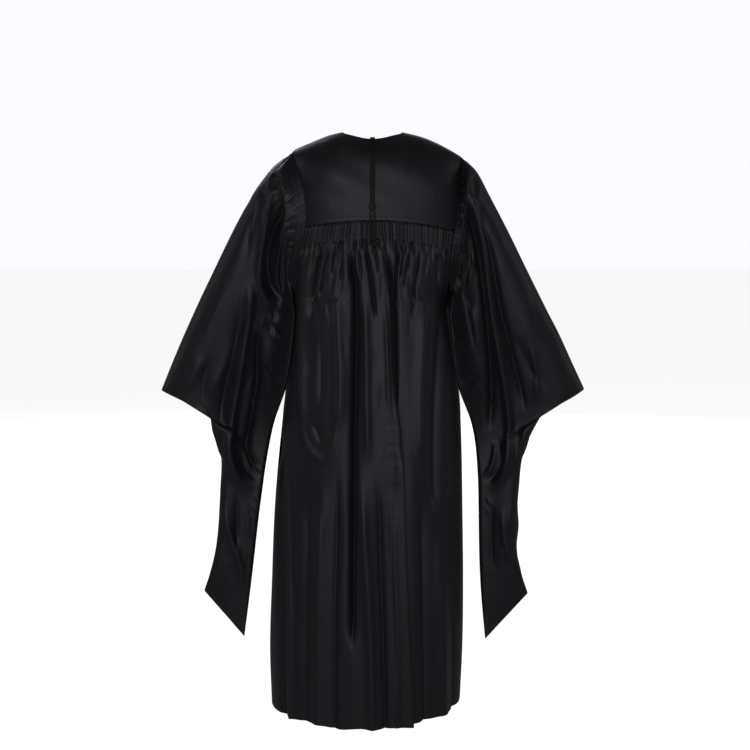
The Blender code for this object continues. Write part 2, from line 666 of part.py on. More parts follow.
def sleeve_folded(points):
    """How far the folds move points of a left sleeve outwards."""
    moved = np.zeros(len(points))
    plane = points[:, [0, 2]]
    for side, first_x, first_z, second_x, second_z, width, depth in SLEEVE_FOLDS:
        start, end = np.array([first_x, first_z]), np.array([second_x, second_z])
        along = end - start
        share = np.clip((plane - start) @ along / (along @ along), 0, 1)
        away = np.linalg.norm(plane - start - share[:, None] * along, axis=1)
        ends = ease(0.0, SLEEVE_FOLD_ENDS, share) * ease(0.0, SLEEVE_FOLD_ENDS, 1 - share)
        crease = depth * ends * np.exp(-((away / width) ** 2))
        moved += np.where(points[:, 1] * side > 0, crease, 0)
    return moved


def armhole_loop(edges):
    """The closed edge of an armhole, off the panels by the seam's gap, and each point's place round it.

    The edges are lists of (point, normal) that follow each other from the shoulder seam down the back
    and up the front.
    """
    points = np.array([point for edge in edges for point, _ in edge])
    normals = np.array([normal for edge in edges for _, normal in edge])
    keep = np.concatenate([[True], np.linalg.norm(np.diff(points, axis=0), axis=1) > 2 * SEAM_GAP])
    points, normals = points[keep], normals[keep]
    tangent = np.roll(points, -1, axis=0) - np.roll(points, 1, axis=0)
    away = np.cross(tangent, normals)
    away /= np.linalg.norm(away, axis=1, keepdims=True)
    away *= np.sign(((points.mean(axis=0) - points) * away).sum(axis=1))[:, None]
    moved = points + SEAM_GAP * (SLEEVE_SEAM_SHIFT * away + normals)
    loop = [moved[0]]
    for start, end in zip(moved, np.concatenate([moved[1:], moved[:1]])):
        steps = max(1, round(float(np.linalg.norm(end - start)) / SLEEVE_GATHER_STEP))
        loop += [start + (end - start) * k / steps for k in range(1, steps + 1)]
    loop = np.array(loop)
    length = np.concatenate([[0], np.cumsum(np.linalg.norm(np.diff(loop, axis=0), axis=1))])
    low = int(np.argmin(loop[:, 2]))
    place = np.where(
        np.arange(len(loop)) <= low,
        length / length[low],
        1 + (length - length[low]) / (length[-1] - length[low]),
    )
    return loop, place


def sleeve(side, edges):
    """A closed hanging sleeve: a gathered head, an arm, a cuff mouth and a tail.

    Returns the walls of its back and its front, which meet along the outer edge and under the arm.
    """
    table = LEFT_SLEEVE if side > 0 else RIGHT_SLEEVE
    mirror = np.array([side, 1.0, 1.0])
    loop, place = armhole_loop(edges)
    loop = loop * mirror
    sheet = Rows()
    for share, gather in SLEEVE_HEAD_ROWS:
        points = loop + (section(table[0], place) - loop) * share
        shift = gathered(len(place), gather) * ease(*SLEEVE_PLAIN_UNDERARM, np.abs(place - 1))
        add_ring(sheet, points, place, shift, True)
    down = np.array(SLEEVE_COLUMNS)
    around = np.concatenate([down, 2 - down[-2::-1]])
    ring = np.stack([np.interp(around, place, loop[:, k]) for k in range(3)], axis=-1)
    points = ring + (section(table[0], around) - ring) * SLEEVE_SHOULDER_ROW
    add_ring(sheet, points, around, np.zeros(len(around)), True)
    for number, values in enumerate(table):
        points = section(values, around)
        closed = not MOUTH_ROWS[0] <= number <= MOUTH_ROWS[1]
        add_ring(sheet, points, around, sleeve_folded(points), closed)
    base = np.array(sheet.base) * mirror
    normals = vertex_normals(base, facing_out(base, sheet.triangles()))
    outer = base + np.array(sheet.shift)[:, None] * normals
    seam = seam_of(sheet)
    normals[seam, 1] = 0
    for row in sheet.rows[:UNDERARM_ROWS]:
        for spot, vertex in row:
            normals[vertex, 1] *= ease(0, UNDERARM_TURN, abs(spot - 1))
    normals /= np.linalg.norm(normals, axis=1, keepdims=True)
    walls = []
    for face, low, high in ((1, 0.0, 1.0), (-1, 1.0, 2.0)):
        moved = outer.copy()
        moved[seam, 1] += face * SEAM_GAP / 2
        triangles = np.array(facing_out(moved, sheet.triangles(low, high)))
        used, renumbered = np.unique(triangles, return_inverse=True)
        triangles = [tuple(face) for face in renumbered.reshape(-1, 3).tolist()]
        walls.append(thick(moved[used], normals[used], triangles))
    return walls


def seam_of(sheet):
    """The vertices on a sleeve's two seams: its outer edge where the ring is closed, and under the arm."""
    vertices = []
    for row in sheet.rows:
        if row[0][1] == row[-1][1]:
            vertices.append(row[0][1])
        vertices += [vertex for place, vertex in row if place == 1]
    return vertices


def facing_out(points, triangles):
    """The same triangles, turned so that most of them face away from the sheet's middle line."""
    corners = points[np.array(triangles)]
    face = np.cross(corners[:, 1] - corners[:, 0], corners[:, 2] - corners[:, 0])
    middle = corners.mean(axis=1) * np.array([0.0, 1.0, 0.0])
    if (face * middle).sum() < 0:
        return [(a, c, b) for a, b, c in triangles]
    return triangles


def add_ring(sheet, points, around, shift, closed):
    """Adds a ring to a sleeve. A closed ring's last point is its first."""
    first = len(sheet.base)
    count = len(points) - 1 if closed else len(points)
    sheet.add(points[:count], around[:count], shift[:count])
    if closed:
        sheet.rows[-1].append((around[-1], first))


def edge_of(sheet, column, rows):
    """(point, normal) along one edge of a sheet, on its outer face."""
    found = []
    for row in rows:
        vertex = sheet.rows[row][column][1]
        normal = np.array(sheet.normals[vertex])
        found.append((np.array(sheet.base[vertex]) + sheet.shift[vertex] * normal, normal))
    return found


def strip(rows):
    """A narrow strip's sheet from rows of (points, normals, shift)."""
    sheet = Rows()
    for points, normals, shift in rows:
        sheet.add(points, np.linspace(0, 1, len(points)), np.full(len(points), shift), normals)
    return sheet


def yoke_cord():
    """The flat cord down the middle of the yoke, from the neckline to the button."""
    xs = np.array([1.0, 0.0, -1.0]) * CORD_WIDTH / 2
    low = float(turn_of_height(BUTTON_HEIGHT + BUTTON_RADIUS * CORD_END))
    turns = [low] + [t for t in neck_turn(0.0) * np.linspace(0, 1, YOKE_ROWS)[1:] if t > low]
    rows = []
    for turn in turns:
        turned = np.full(len(xs), turn)
        shift = SEAM_GAP + CORD_THICKNESS
        rows.append((over_shoulder(xs, turned), shoulder_normals(xs, turned), shift))
    return strip(rows)


def hood_button():
    """The covered button at the end of the cord: a flattened ball."""
    back = over_shoulder(0.0, float(turn_of_height(BUTTON_HEIGHT)))[1] + SEAM_GAP
    solid = bmesh.new()
    rounds = {"u_segments": BUTTON_SEGMENTS, "v_segments": BUTTON_RINGS}
    bmesh.ops.create_uvsphere(solid, radius=BUTTON_RADIUS, **rounds)
    bmesh.ops.scale(solid, vec=(1, BUTTON_FLATNESS, 1), verts=solid.verts)
    mesh = bpy.data.meshes.new("hood_button")
    solid.to_mesh(mesh)
    solid.free()
    mesh.shade_smooth()
    made = add_object("hood_button", mesh, CLOTH)
    made.location = (0, back + BUTTON_RADIUS * BUTTON_FLATNESS, BUTTON_HEIGHT)


def cord_loop():
    """The doubled cord that hangs from the button: down one side, round its end and up the other."""
    top = BUTTON_HEIGHT - BUTTON_RADIUS - SEAM_GAP
    bend = LOOP_END + LOOP_HALF_GAP + LOOP_STRAND
    down = [(LOOP_HALF_GAP, z) for z in np.linspace(top, bend, LOOP_POINTS)]
    turn = [
        (LOOP_HALF_GAP * math.cos(a), bend - LOOP_HALF_GAP * math.sin(a))
        for a in np.linspace(0, math.pi, LOOP_BEND_POINTS + 2)[1:-1]
    ]
    up = [(-x, z) for x, z in reversed(down)]
    curve = bpy.data.curves.new("cord_loop", "CURVE")
    curve.dimensions = "3D"
    curve.bevel_depth = LOOP_STRAND
    curve.bevel_resolution = 2
    curve.use_fill_caps = True
    line = curve.splines.new("POLY")
    route = down + turn + up
    line.points.add(len(route) - 1)
    for point, (x, z) in zip(line.points, route):
        depth = float(body(90.0, z)[1]) + SEAM_GAP + LOOP_LIFT + LOOP_STRAND
        point.co = (x, depth, z, 1)
    add_object("cord_loop", curve, CORD)


def zip_tape(side):
    """One tape of the zip, behind the front panel's edge."""
    rows = []
    xs = side * np.linspace(TAPE_INNER_EDGE, TAPE_REACH, 3)
    for height in FRONT_CHEST_ROWS + BODY_ROWS:
        if ZIP_BOTTOM <= height <= NECK_POINT_FRONT:
            heights = np.full(len(xs), height)
            angles = angle_at(xs, height, -1)
            rows.append((body(angles, heights), body_normals(angles, heights), -WALL - SEAM_GAP))
    return strip(rows)


def block(low, high):
    """A closed box mesh between two corners."""
    solid = bmesh.new()
    bmesh.ops.create_cube(solid, size=1)
    low, high = Vector(low), Vector(high)
    bmesh.ops.scale(solid, vec=high - low, verts=solid.verts)
    bmesh.ops.translate(solid, vec=(low + high) / 2, verts=solid.verts)
    mesh = bpy.data.meshes.new("block")
    solid.to_mesh(mesh)
    solid.free()
    return mesh


def boolean(made, tool_mesh, operation, name):
    """Joins a shape to a piece, or cuts it away. The tool goes to the cutters."""
    tool = bpy.data.objects.new(name, tool_mesh)
    tool.hide_render = True
    tool.display_type = "WIRE"
    tool.location = made.location
    bpy.data.collections[GOWN + "_cutters"].objects.link(tool)
    change = made.modifiers.new(name, "BOOLEAN")
    change.operation = operation
    change.solver = "EXACT"
    change.object = tool


def zip_slider():
    """The zip's slider, with the bridge that holds its pull tab. Returns the middle of its front face."""
    width, depth, length = SLIDER_SIZE
    low = SLIDER_HEIGHT - length / 2
    tape = float(body(-90.0, low)[1]) + WALL + SEAM_GAP
    front = tape - SEAM_GAP - depth
    plate = block((-width / 2, 0, -length / 2), (width / 2, depth, length / 2))
    made = add_object("zip_slider", plate, METAL)
    made.location = (0, front, SLIDER_HEIGHT)
    half, reach = BRIDGE_WIDTH / 2, BRIDGE_LENGTH / 2
    rise = BRIDGE_CLEARANCE + BRIDGE_THICKNESS
    upper = block((-half, -rise, reach - BRIDGE_POST), (half, BRIDGE_POST, reach))
    lower = block((-half, -rise, -reach), (half, BRIDGE_POST, BRIDGE_POST - reach))
    span = reach - BRIDGE_POST / 2
    top = block((-half, -rise, -span), (half, -BRIDGE_CLEARANCE, span))
    for name, mesh in (("upper_post", upper), ("lower_post", lower), ("top", top)):
        boolean(made, mesh, "UNION", f"bridge_{name}")
    return front


def zip_pull_tab(front):
    """The pull tab, hanging from its bar under the slider's bridge. Its origin is on the bar's axis."""
    width, thickness, length = TAB_SIZE
    half, edge = thickness / 2, TAB_BAR / 2
    plate = block((-width / 2, -half, edge - length), (width / 2, half, edge))
    made = add_object("zip_pull_tab", plate, METAL)
    made.location = (0, front - BRIDGE_CLEARANCE / 2, SLIDER_HEIGHT)
    eye_width, eye_length = TAB_EYE
    eye = block((-eye_width / 2, -thickness, -edge - eye_length), (eye_width / 2, thickness, -edge))
    boolean(made, eye, "DIFFERENCE", "tab_eye")


def main():
    """Builds every piece of the gown."""
    for old in list(bpy.data.objects):
        bpy.data.objects.remove(old, do_unlink=True)
    for name in (GOWN, GOWN + "_cutters"):
        bpy.context.scene.collection.children.link(bpy.data.collections.new(name))
    yoke = back_yoke()
    add_mesh("back_yoke", *yoke.wall(yoke.triangles()), CLOTH)
    under = len(GATHER_ROWS) + BODY_ROWS.index(UNDERARM)
    for side, word in ((1, "left"), (-1, "right")):
        back, front, shoulder = back_panel(side), front_panel(side), front_yoke(side)
        for name, sheet in (("back_panel", back), ("front_panel", front), ("front_yoke", shoulder)):
            add_mesh(f"{name}_{word}", *sheet.wall(sheet.triangles()), CLOTH)
        column = 0 if side > 0 else -1
        front_under = under + len(FRONT_CHEST_ROWS)
        edges = (
            edge_of(yoke, column, range(YOKE_ROWS - 1, -1, -1)),
            edge_of(back, 0, range(under + 1)),
            edge_of(front, 0, range(front_under - 1, -1, -1)),
            edge_of(shoulder, 0, range(FRONT_YOKE_ROWS - 1, 0, -1)),
        )
        for face, wall in zip(("back", "front"), sleeve(side, edges)):
            add_mesh(f"sleeve_{face}_{word}", *wall, CLOTH)
        tape = zip_tape(side)
        add_mesh(f"zip_tape_{word}", *tape.wall(tape.triangles(), TAPE_THICKNESS), TAPE)
    cord = yoke_cord()
    add_mesh("yoke_cord", *cord.wall(cord.triangles(), CORD_THICKNESS), CORD)
    hood_button()
    cord_loop()
    zip_pull_tab(zip_slider())


main()
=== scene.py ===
"""A black satin graduation gown, hanging as it is worn and seen from the back.

Each piece of cloth is a numpy surface on the form of its CAD solid: a smooth body or sleeve, moved along
its normals by flutes, pleats and creases. Metres, +Z up, the gown's front towards -Y and the wearer's
left towards +X. The origin is the middle of the neck opening.
"""

from __future__ import annotations

import logging
import math
from collections.abc import Sequence
from dataclasses import dataclass, field
from enum import Enum
from typing import Any

import bpy
import numpy as np
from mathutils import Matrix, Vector

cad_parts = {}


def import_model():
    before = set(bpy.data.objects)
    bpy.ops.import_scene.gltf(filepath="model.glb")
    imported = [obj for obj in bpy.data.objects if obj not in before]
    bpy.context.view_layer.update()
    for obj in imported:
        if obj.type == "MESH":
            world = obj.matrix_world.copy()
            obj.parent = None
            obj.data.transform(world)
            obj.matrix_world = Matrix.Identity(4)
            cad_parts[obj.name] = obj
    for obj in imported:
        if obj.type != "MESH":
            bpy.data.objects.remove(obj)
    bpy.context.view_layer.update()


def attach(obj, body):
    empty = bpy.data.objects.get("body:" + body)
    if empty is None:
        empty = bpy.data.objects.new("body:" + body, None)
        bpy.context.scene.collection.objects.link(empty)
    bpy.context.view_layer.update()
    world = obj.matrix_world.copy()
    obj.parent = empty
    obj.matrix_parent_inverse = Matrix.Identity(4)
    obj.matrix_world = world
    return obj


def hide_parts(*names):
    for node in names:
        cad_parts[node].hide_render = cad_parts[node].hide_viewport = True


Array = np.ndarray
Material = bpy.types.Material
Object = bpy.types.Object
log = logging.getLogger("gown")

NECK_HALF_WIDTH = 0.073
NECK_DEPTH_BACK = 0.062
NECK_POINT_FRONT = -0.125
YOKE_BASE = -0.190
SHOULDER_POWER = 2.6
SHOULDER_SEAM_TURN = 98.0
FRONT_YOKE_TURN = 138.0
UNDERARM = -0.360
HEM = -1.290
ZIP_BOTTOM = -1.000
ZIP_HALF_GAP = 0.0065
SEAM_GAP = 0.0003
ROOT = "root"


class Side(Enum):
    """The wearer's left or right."""

    LEFT = 1
    RIGHT = -1

    @property
    def word(self) -> str:
        """The side's name in lower case."""
        return self.name.lower()


class Face(Enum):
    """The gown's back or front."""

    BACK = 1
    FRONT = -1


@dataclass(frozen=True)
class Table:
    """A short table with named columns.

    Attributes:
        columns: The columns' names.
        rows: One tuple of numbers for each row.
    """

    columns: tuple[str, ...]
    rows: tuple[tuple[float, ...], ...]

    def __getitem__(self, name: str) -> Array:
        """The whole column of this name."""
        return np.array([row[self.columns.index(name)] for row in self.rows], float)

    def at(self, name: str, place: Array | float) -> Array:
        """A smooth curve through a column, as a function of the table's first column.

        Args:
            name: The column that is read.
            place: Values of the first column, of any shape.

        Returns:
            The column's values there, the ends kept beyond the table.
        """
        order = np.argsort(self[self.columns[0]])
        knots, values = self[self.columns[0]][order], self[name][order]
        slopes = np.gradient(values, knots)
        place = np.clip(np.asarray(place, float), knots[0], knots[-1])
        k = np.clip(np.searchsorted(knots, place) - 1, 0, len(knots) - 2)
        step = knots[k + 1] - knots[k]
        t = (place - knots[k]) / step
        return (
            (1 + 2 * t) * (1 - t) ** 2 * values[k]
            + t * (1 - t) ** 2 * step * slopes[k]
            + t * t * (3 - 2 * t) * values[k + 1]
            + t * t * (t - 1) * step * slopes[k + 1]
        )


def ease(low: float, high: float, at: Array | float) -> Array:
    """0 below low, 1 above high, and a smooth rise between them."""
    t = np.clip((np.asarray(at, float) - low) / (high - low), 0, 1)
    return t * t * (3 - 2 * t)


def bell(distance: Array, width: Array | float) -> Array:
    """1 at no distance, falling smoothly to 0 over about two widths."""
    return np.exp(-((distance / width) ** 2))


def trough(distance: Array) -> Array:
    """1 at no distance, falling at a nearly steady slope and then to 0 over about three widths."""
    return np.exp(-1.35 * (np.hypot(distance, 0.28) - 0.28))


def wander(at: Array | float, seed: int, pitch: float = 1.0) -> Array:
    """Slow uneven change between about -1 and 1, from six sines of seeded pitch and phase.

    Args:
        at: Places along a line.
        seed: Seed of the sines.
        pitch: The length that they are drawn out by.

    Returns:
        The value at each place.
    """
    rng = np.random.default_rng(seed)
    rates, phases = rng.uniform(0.5, 2.2, 6), rng.uniform(0, 2 * math.pi, 6)
    waves = np.sin(np.asarray(at, float)[..., None] * rates * 2 * math.pi / pitch + phases)
    return waves.sum(axis=-1) / math.sqrt(6)


def unit(vectors: Array) -> Array:
    """The same vectors, each of length 1."""
    return vectors / np.maximum(np.linalg.norm(vectors, axis=-1, keepdims=True), 1e-12)


def travelled(points: Array, axis: int) -> Array:
    """Length along lines of points from their start.

    Args:
        points: The points, with x, y and z along the last axis.
        axis: The axis that the lines run along.

    Returns:
        The length at each point.
    """
    steps = np.linalg.norm(np.diff(points, axis=axis), axis=-1)
    pads = [(int(k == axis), 0) for k in range(steps.ndim)]
    return np.pad(np.cumsum(steps, axis=axis), pads)


def graded(count: int, edges: Sequence[float], weights: Sequence[float]) -> Array:
    """Numbers from the first to the last edge, closer together where the weights are higher.

    Args:
        count: How many numbers.
        edges: Places along the range, in rising order.
        weights: The density wanted at each of those places.

    Returns:
        The numbers, the first and last edge among them.
    """
    fine = np.linspace(edges[0], edges[-1], 2000)
    density = np.interp(fine, edges, weights)
    total = np.concatenate([[0], np.cumsum((density[1:] + density[:-1]) / 2)])
    return np.interp(np.linspace(0, total[-1], count), total, fine)


@dataclass(frozen=True)
class BodyForm:
    """The smooth form that the yoke and the body panels lie on.

    Attributes:
        ridge_top: Height of the shoulder's ridge at the neck.
        ridge_flat: Half width of its level part.
        ridge_curve: How fast it falls beyond that.
        arch_middle: Height of the back yoke's lower edge in the middle.
        arch_left: Distance at which that edge has dropped by drop_left.
        arch_right: Distance at which it has dropped by drop_right.
        drop_left: Its drop at the wearer's left.
        drop_right: Its drop at the right.
    """

    ridge_top: float = 0.002
    ridge_flat: float = 0.030
    ridge_curve: float = 2.05
    arch_middle: float = -0.183
    arch_left: float = 0.145
    arch_right: float = 0.180
    drop_left: float = 0.017
    drop_right: float = 0.026

    sections = Table(
        ("height", "left", "right", "back", "front", "roundness"),
        (
            (-0.190, 0.178, 0.196, 0.120, 0.108, 2.50),
            (-0.300, 0.176, 0.180, 0.130, 0.115, 2.42),
            (-0.360, 0.1745, 0.1715, 0.137, 0.120, 2.35),
            (-0.420, 0.178, 0.1765, 0.144, 0.124, 2.30),
            (-0.500, 0.187, 0.185, 0.152, 0.129, 2.25),
            (-0.580, 0.196, 0.1945, 0.160, 0.134, 2.20),
            (-0.670, 0.206, 0.199, 0.167, 0.139, 2.15),
            (-0.830, 0.221, 0.203, 0.177, 0.147, 2.10),
            (-1.000, 0.229, 0.206, 0.186, 0.154, 2.05),
            (-1.170, 0.235, 0.2055, 0.192, 0.158, 2.00),
            (-1.290, 0.232, 0.201, 0.195, 0.160, 2.00),
        ),
    )
    armholes = Table(
        ("height", "left back", "right back", "left front", "right front"),
        (
            (0.000, 19.2, 11.2, 19.2, 11.2),
            (-0.060, 29.0, 15.5, 29.0, 25.0),
            (-0.100, 36.0, 19.4, 37.0, 35.0),
            (-0.150, 40.5, 24.5, 42.0, 41.0),
            (-0.200, 39.0, 25.4, 41.0, 40.0),
            (-0.250, 31.0, 25.0, 33.0, 32.0),
            (-0.300, 22.5, 21.0, 24.0, 23.0),
            (-0.335, 14.5, 14.5, 15.0, 15.0),
            (-0.352, 8.0, 8.0, 8.0, 8.0),
            (-0.360, 0.0, 0.0, 0.0, 0.0),
        ),
    )

    def ridge(self, x: Array) -> Array:
        """Height of the shoulder's ridge at a distance from the middle."""
        return self.ridge_top - self.ridge_curve * np.maximum(np.abs(x) - self.ridge_flat, 0) ** 2

    @staticmethod
    def height_of_turn(turn: Array | float) -> Array:
        """Height at an angle over the shoulder: 0 low on the back, 90 on the ridge, 180 in front."""
        return YOKE_BASE * (1 - np.abs(np.sin(np.radians(turn))) ** (2 / SHOULDER_POWER))

    @staticmethod
    def turn_of_height(height: Array | float) -> Array:
        """Angle over the shoulder, from 0 to 90, that a height on the yoke has."""
        rise = np.clip(1 - np.asarray(height, float) / YOKE_BASE, 0, 1)
        return np.degrees(np.arcsin(rise ** (SHOULDER_POWER / 2)))

    def point(self, angle: Array | float, height: Array | float) -> Array:
        """A point of the form.

        Each level is a superellipse with its own reach left, right, back and front. Above the yoke's
        base the depth shrinks to nothing at the shoulder's ridge, along another superellipse.

        Args:
            angle: Degrees from the wearer's left, the back positive.
            height: The level, in metres.

        Returns:
            The points, x, y and z along the last axis.
        """
        angle, height = np.broadcast_arrays(np.radians(angle), np.asarray(height, float))
        level = np.minimum(height, YOKE_BASE)
        power = 2 / self.sections.at("roundness", level)
        cosine, sine = np.cos(angle), np.sin(angle)
        left, right = self.sections.at("left", level), self.sections.at("right", level)
        back, front = self.sections.at("back", level), self.sections.at("front", level)
        rise = np.clip(1 - height / YOKE_BASE, 0, 1)
        shrink = (1 - rise**SHOULDER_POWER) ** (1 / SHOULDER_POWER)
        x = np.where(cosine > 0, left, right) * np.sign(cosine) * np.abs(cosine) ** power
        y = np.where(sine > 0, back, front) * np.sign(sine) * np.abs(sine) ** power * shrink
        z = np.where(height > YOKE_BASE, YOKE_BASE + (self.ridge(x) - YOKE_BASE) * rise, height)
        return np.stack([x, y, z], axis=-1)

    def angle_at(self, x: Array | float, height: Array | float, face: Face) -> Array:
        """The angle at which the section at this height reaches x, on the back or the front.

        Args:
            x: Distance from the middle.
            height: The level.
            face: The back or the front.

        Returns:
            The angle, in degrees.
        """
        x, level = np.broadcast_arrays(np.asarray(x, float), np.minimum(height, YOKE_BASE))
        reach = np.where(x > 0, self.sections.at("left", level), self.sections.at("right", level))
        cosine = np.sign(x) * (np.abs(x) / reach) ** (self.sections.at("roundness", level) / 2)
        return face.value * np.degrees(np.arccos(np.clip(cosine, -1, 1)))

    def over_shoulder(self, x: Array | float, turn: Array | float) -> Array:
        """Point on the yoke's form at a distance from the middle and an angle over the shoulder.

        Args:
            x: Distance from the middle.
            turn: Degrees over the shoulder, 0 low on the back.

        Returns:
            The points.
        """
        x, turn = np.broadcast_arrays(np.asarray(x, float), np.asarray(turn, float))
        angle = self.angle_at(x, YOKE_BASE, Face.BACK)
        height = np.minimum(self.height_of_turn(turn), -1e-9)
        return self.point(np.where(turn <= 90, angle, -angle), height)

    def edge_angle(self, side: Side, face: Face, height: Array | float) -> Array:
        """Angle of the armhole's edge at a height, or of the side seam below the armhole.

        Args:
            side: The wearer's left or right.
            face: The back or the front.
            height: The level.

        Returns:
            The angle, in degrees.
        """
        height = np.asarray(height, float)
        column = f"{side.word} {face.name.lower()}"
        degrees = np.where(height > UNDERARM, self.armholes.at(column, height), 0.0)
        degrees = np.maximum(degrees, np.degrees(SEAM_GAP))
        return face.value * (degrees if side is Side.LEFT else 180 - degrees)

    def yoke_edge(self, x: Array | float) -> Array:
        """Height of the back yoke's lower edge: an arch that drops to the armholes."""
        left = np.maximum(x, 0) / self.arch_left
        right = np.maximum(-np.asarray(x), 0) / self.arch_right
        return self.arch_middle - self.drop_left * left**2 - self.drop_right * right**2

    def yoke_corner(self, side: Side) -> float:
        """Height at which the back yoke's lower edge meets an armhole."""
        reach = self.point(self.edge_angle(side, Face.BACK, YOKE_BASE), YOKE_BASE)[..., 0]
        return float(self.yoke_edge(reach))

    def spread(self, first: Array, last: Array, levels: Array, shares: Array) -> Array:
        """Angles between two angles of each level, at these shares of the cloth's length between them.

        Args:
            first: The first angle of each level.
            last: The last angle of each level.
            levels: The levels' heights.
            shares: Shares of the length, from 0 to 1.

        Returns:
            The angles, a row for each level.
        """
        fine = first[:, None] + (last - first)[:, None] * np.linspace(0, 1, 240)
        length = travelled(self.point(fine, levels[:, None]), 1)
        rows = [np.interp(shares * n[-1], n, angles) for n, angles in zip(length, fine)]
        return np.array(rows)


def grid_normals(points: Array, towards: Array, joined: Array | None = None) -> Array:
    """Unit normals of a grid of points.

    Args:
        points: Rows by columns of points.
        towards: A direction at each point, or one for all, that the normals are turned to.
        joined: Which rows close on themselves, their last point being their first.

    Returns:
        The normals, in the grid's shape.
    """
    across = np.gradient(points, axis=1)
    if joined is not None:
        wrapped = points[:, 1] - points[:, -2]
        across[:, 0] = np.where(joined[:, None], wrapped, across[:, 0])
        across[:, -1] = np.where(joined[:, None], wrapped, across[:, -1])
    normals = unit(np.cross(across, np.gradient(points, axis=0)))
    sign = np.sign((normals * towards).sum(axis=-1).sum())
    return normals * (sign if sign else 1.0)


def measured(points: Array) -> Array:
    """Where each point of a grid lies on the flat cut.

    Args:
        points: Rows by columns of points.

    Returns:
        Metres across from the middle and down, along the last axis.
    """
    across = travelled(points, 1)
    across -= across[:, -1:] / 2
    down = travelled(points, 0).mean(axis=1, keepdims=True)
    return np.stack([across, -down + 0 * across], axis=-1)


@dataclass(frozen=True)
class Cut:
    """A flat cut: its width and length in metres, and its area."""

    flat: tuple[float, float]
    area: float


@dataclass
class Patch:
    """One grid of a piece of cloth.

    Attributes:
        points: Rows by columns of points.
        normals: The cloth's outward normals there.
        flat: Where each point lies on the flat cut, in metres.
        joined: Which rows close on themselves.
    """

    points: Array
    normals: Array
    flat: Array
    joined: Array | None = None

    def part(self, rows: Any, columns: Any = slice(None)) -> Patch:
        """The open patch of these rows and columns."""
        return Patch(*(grid[rows][:, columns] for grid in (self.points, self.normals, self.flat)))

    def turned_in(self, distance: Array, depth: float) -> Patch:
        """The hem that is turned to the inside of this patch.

        Args:
            distance: How far each point lies from the edge that is turned.
            depth: How far below the cloth the turned layer lies.

        Returns:
            A patch that starts at the edge and lies on the cloth's inner side.
        """
        lift = depth * np.sqrt(ease(0, 3 * depth, distance))
        return Patch(self.points - self.normals * lift[..., None], -self.normals, self.flat)


def laid_out(points: Array, towards: Array) -> Patch:
    """The open patch of these points, with its normals towards a side and its flat cut."""
    return Patch(points, grid_normals(points, towards), measured(points))


@dataclass
class Piece:
    """A mesh object of one or more patches.

    Attributes:
        name: The object's name.
        finish: Its material.
        slot: The record's material slot.
        patches: Its grids.
    """

    name: str
    finish: Material
    slot: str
    patches: list[Patch] = field(default_factory=list)

    def build(self, *replaced: str) -> Object:
        """Makes the mesh, whose faces point outwards, with its flat cut as a UV map.

        Args:
            *replaced: The CAD nodes that it stands for.

        Returns:
            The object, riding on the root.
        """
        points, faces, flats, first = [], [], [], 0
        for patch in self.patches:
            rows, columns = patch.points.shape[:2]
            number = np.arange(rows * columns).reshape(rows, columns)
            owner = number.copy()
            if patch.joined is not None:
                owner[patch.joined, -1] = owner[patch.joined, 0]
            corners = np.stack(
                [number[:-1, :-1], number[1:, :-1], number[1:, 1:], number[:-1, 1:]], axis=-1
            ).reshape(-1, 4)
            made = patch.points.reshape(-1, 3)
            diagonals = made[corners[:, 2]] - made[corners[:, 0]], made[corners[:, 3]] - made[corners[:, 1]]
            facing = (np.cross(*diagonals) * patch.normals.reshape(-1, 3)[corners[:, 0]]).sum()
            if facing < 0:
                corners = corners[:, ::-1]
            points.append(made)
            flats.append(patch.flat.reshape(-1, 2)[corners])
            faces.append(owner.reshape(-1)[corners] + first)
            first += len(made)
        made = add_mesh(self.name, np.concatenate(points), np.concatenate(faces), self.finish)
        flat = made.data.uv_layers.new(name="cut")
        flat.data.foreach_set("uv", np.concatenate(flats).reshape(-1).astype(np.float32))
        return settle(made, self.slot, *replaced)


def add_mesh(name: str, points: Array, faces: Array, finish: Material) -> Object:
    """Makes a smooth mesh object from arrays.

    Args:
        name: The object's name.
        points: The vertices.
        faces: The vertices of each face, the same number for all.
        finish: The material.

    Returns:
        The object, linked to the scene.
    """
    used, numbered = np.unique(faces, return_inverse=True)
    faces, points = numbered.reshape(faces.shape), points[used]
    count, corners = faces.shape
    mesh = bpy.data.meshes.new(name)
    mesh.vertices.add(len(points))
    mesh.vertices.foreach_set("co", points.reshape(-1).astype(np.float32))
    mesh.loops.add(count * corners)
    mesh.loops.foreach_set("vertex_index", faces.reshape(-1).astype(np.int32))
    mesh.polygons.add(count)
    mesh.polygons.foreach_set("loop_start", np.arange(0, count * corners, corners, dtype=np.int32))
    mesh.update(calc_edges=True)
    mesh.shade_smooth()
    mesh.materials.append(finish)
    made = bpy.data.objects.new(name, mesh)
    bpy.context.scene.collection.objects.link(made)
    return made


def settle(made: Object, slot: str, *replaced: str) -> Object:
    """Ties a piece to the root, and hides the CAD nodes that it stands for.

    Args:
        made: The piece's object.
        slot: The record's material slot; not used.
        *replaced: The CAD nodes that it stands for.

    Returns:
        The same object.
    """
    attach(made, ROOT)
    if replaced:
        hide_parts(*replaced)
    log.info("%s: %d faces", made.name, len(made.data.polygons))
    return made


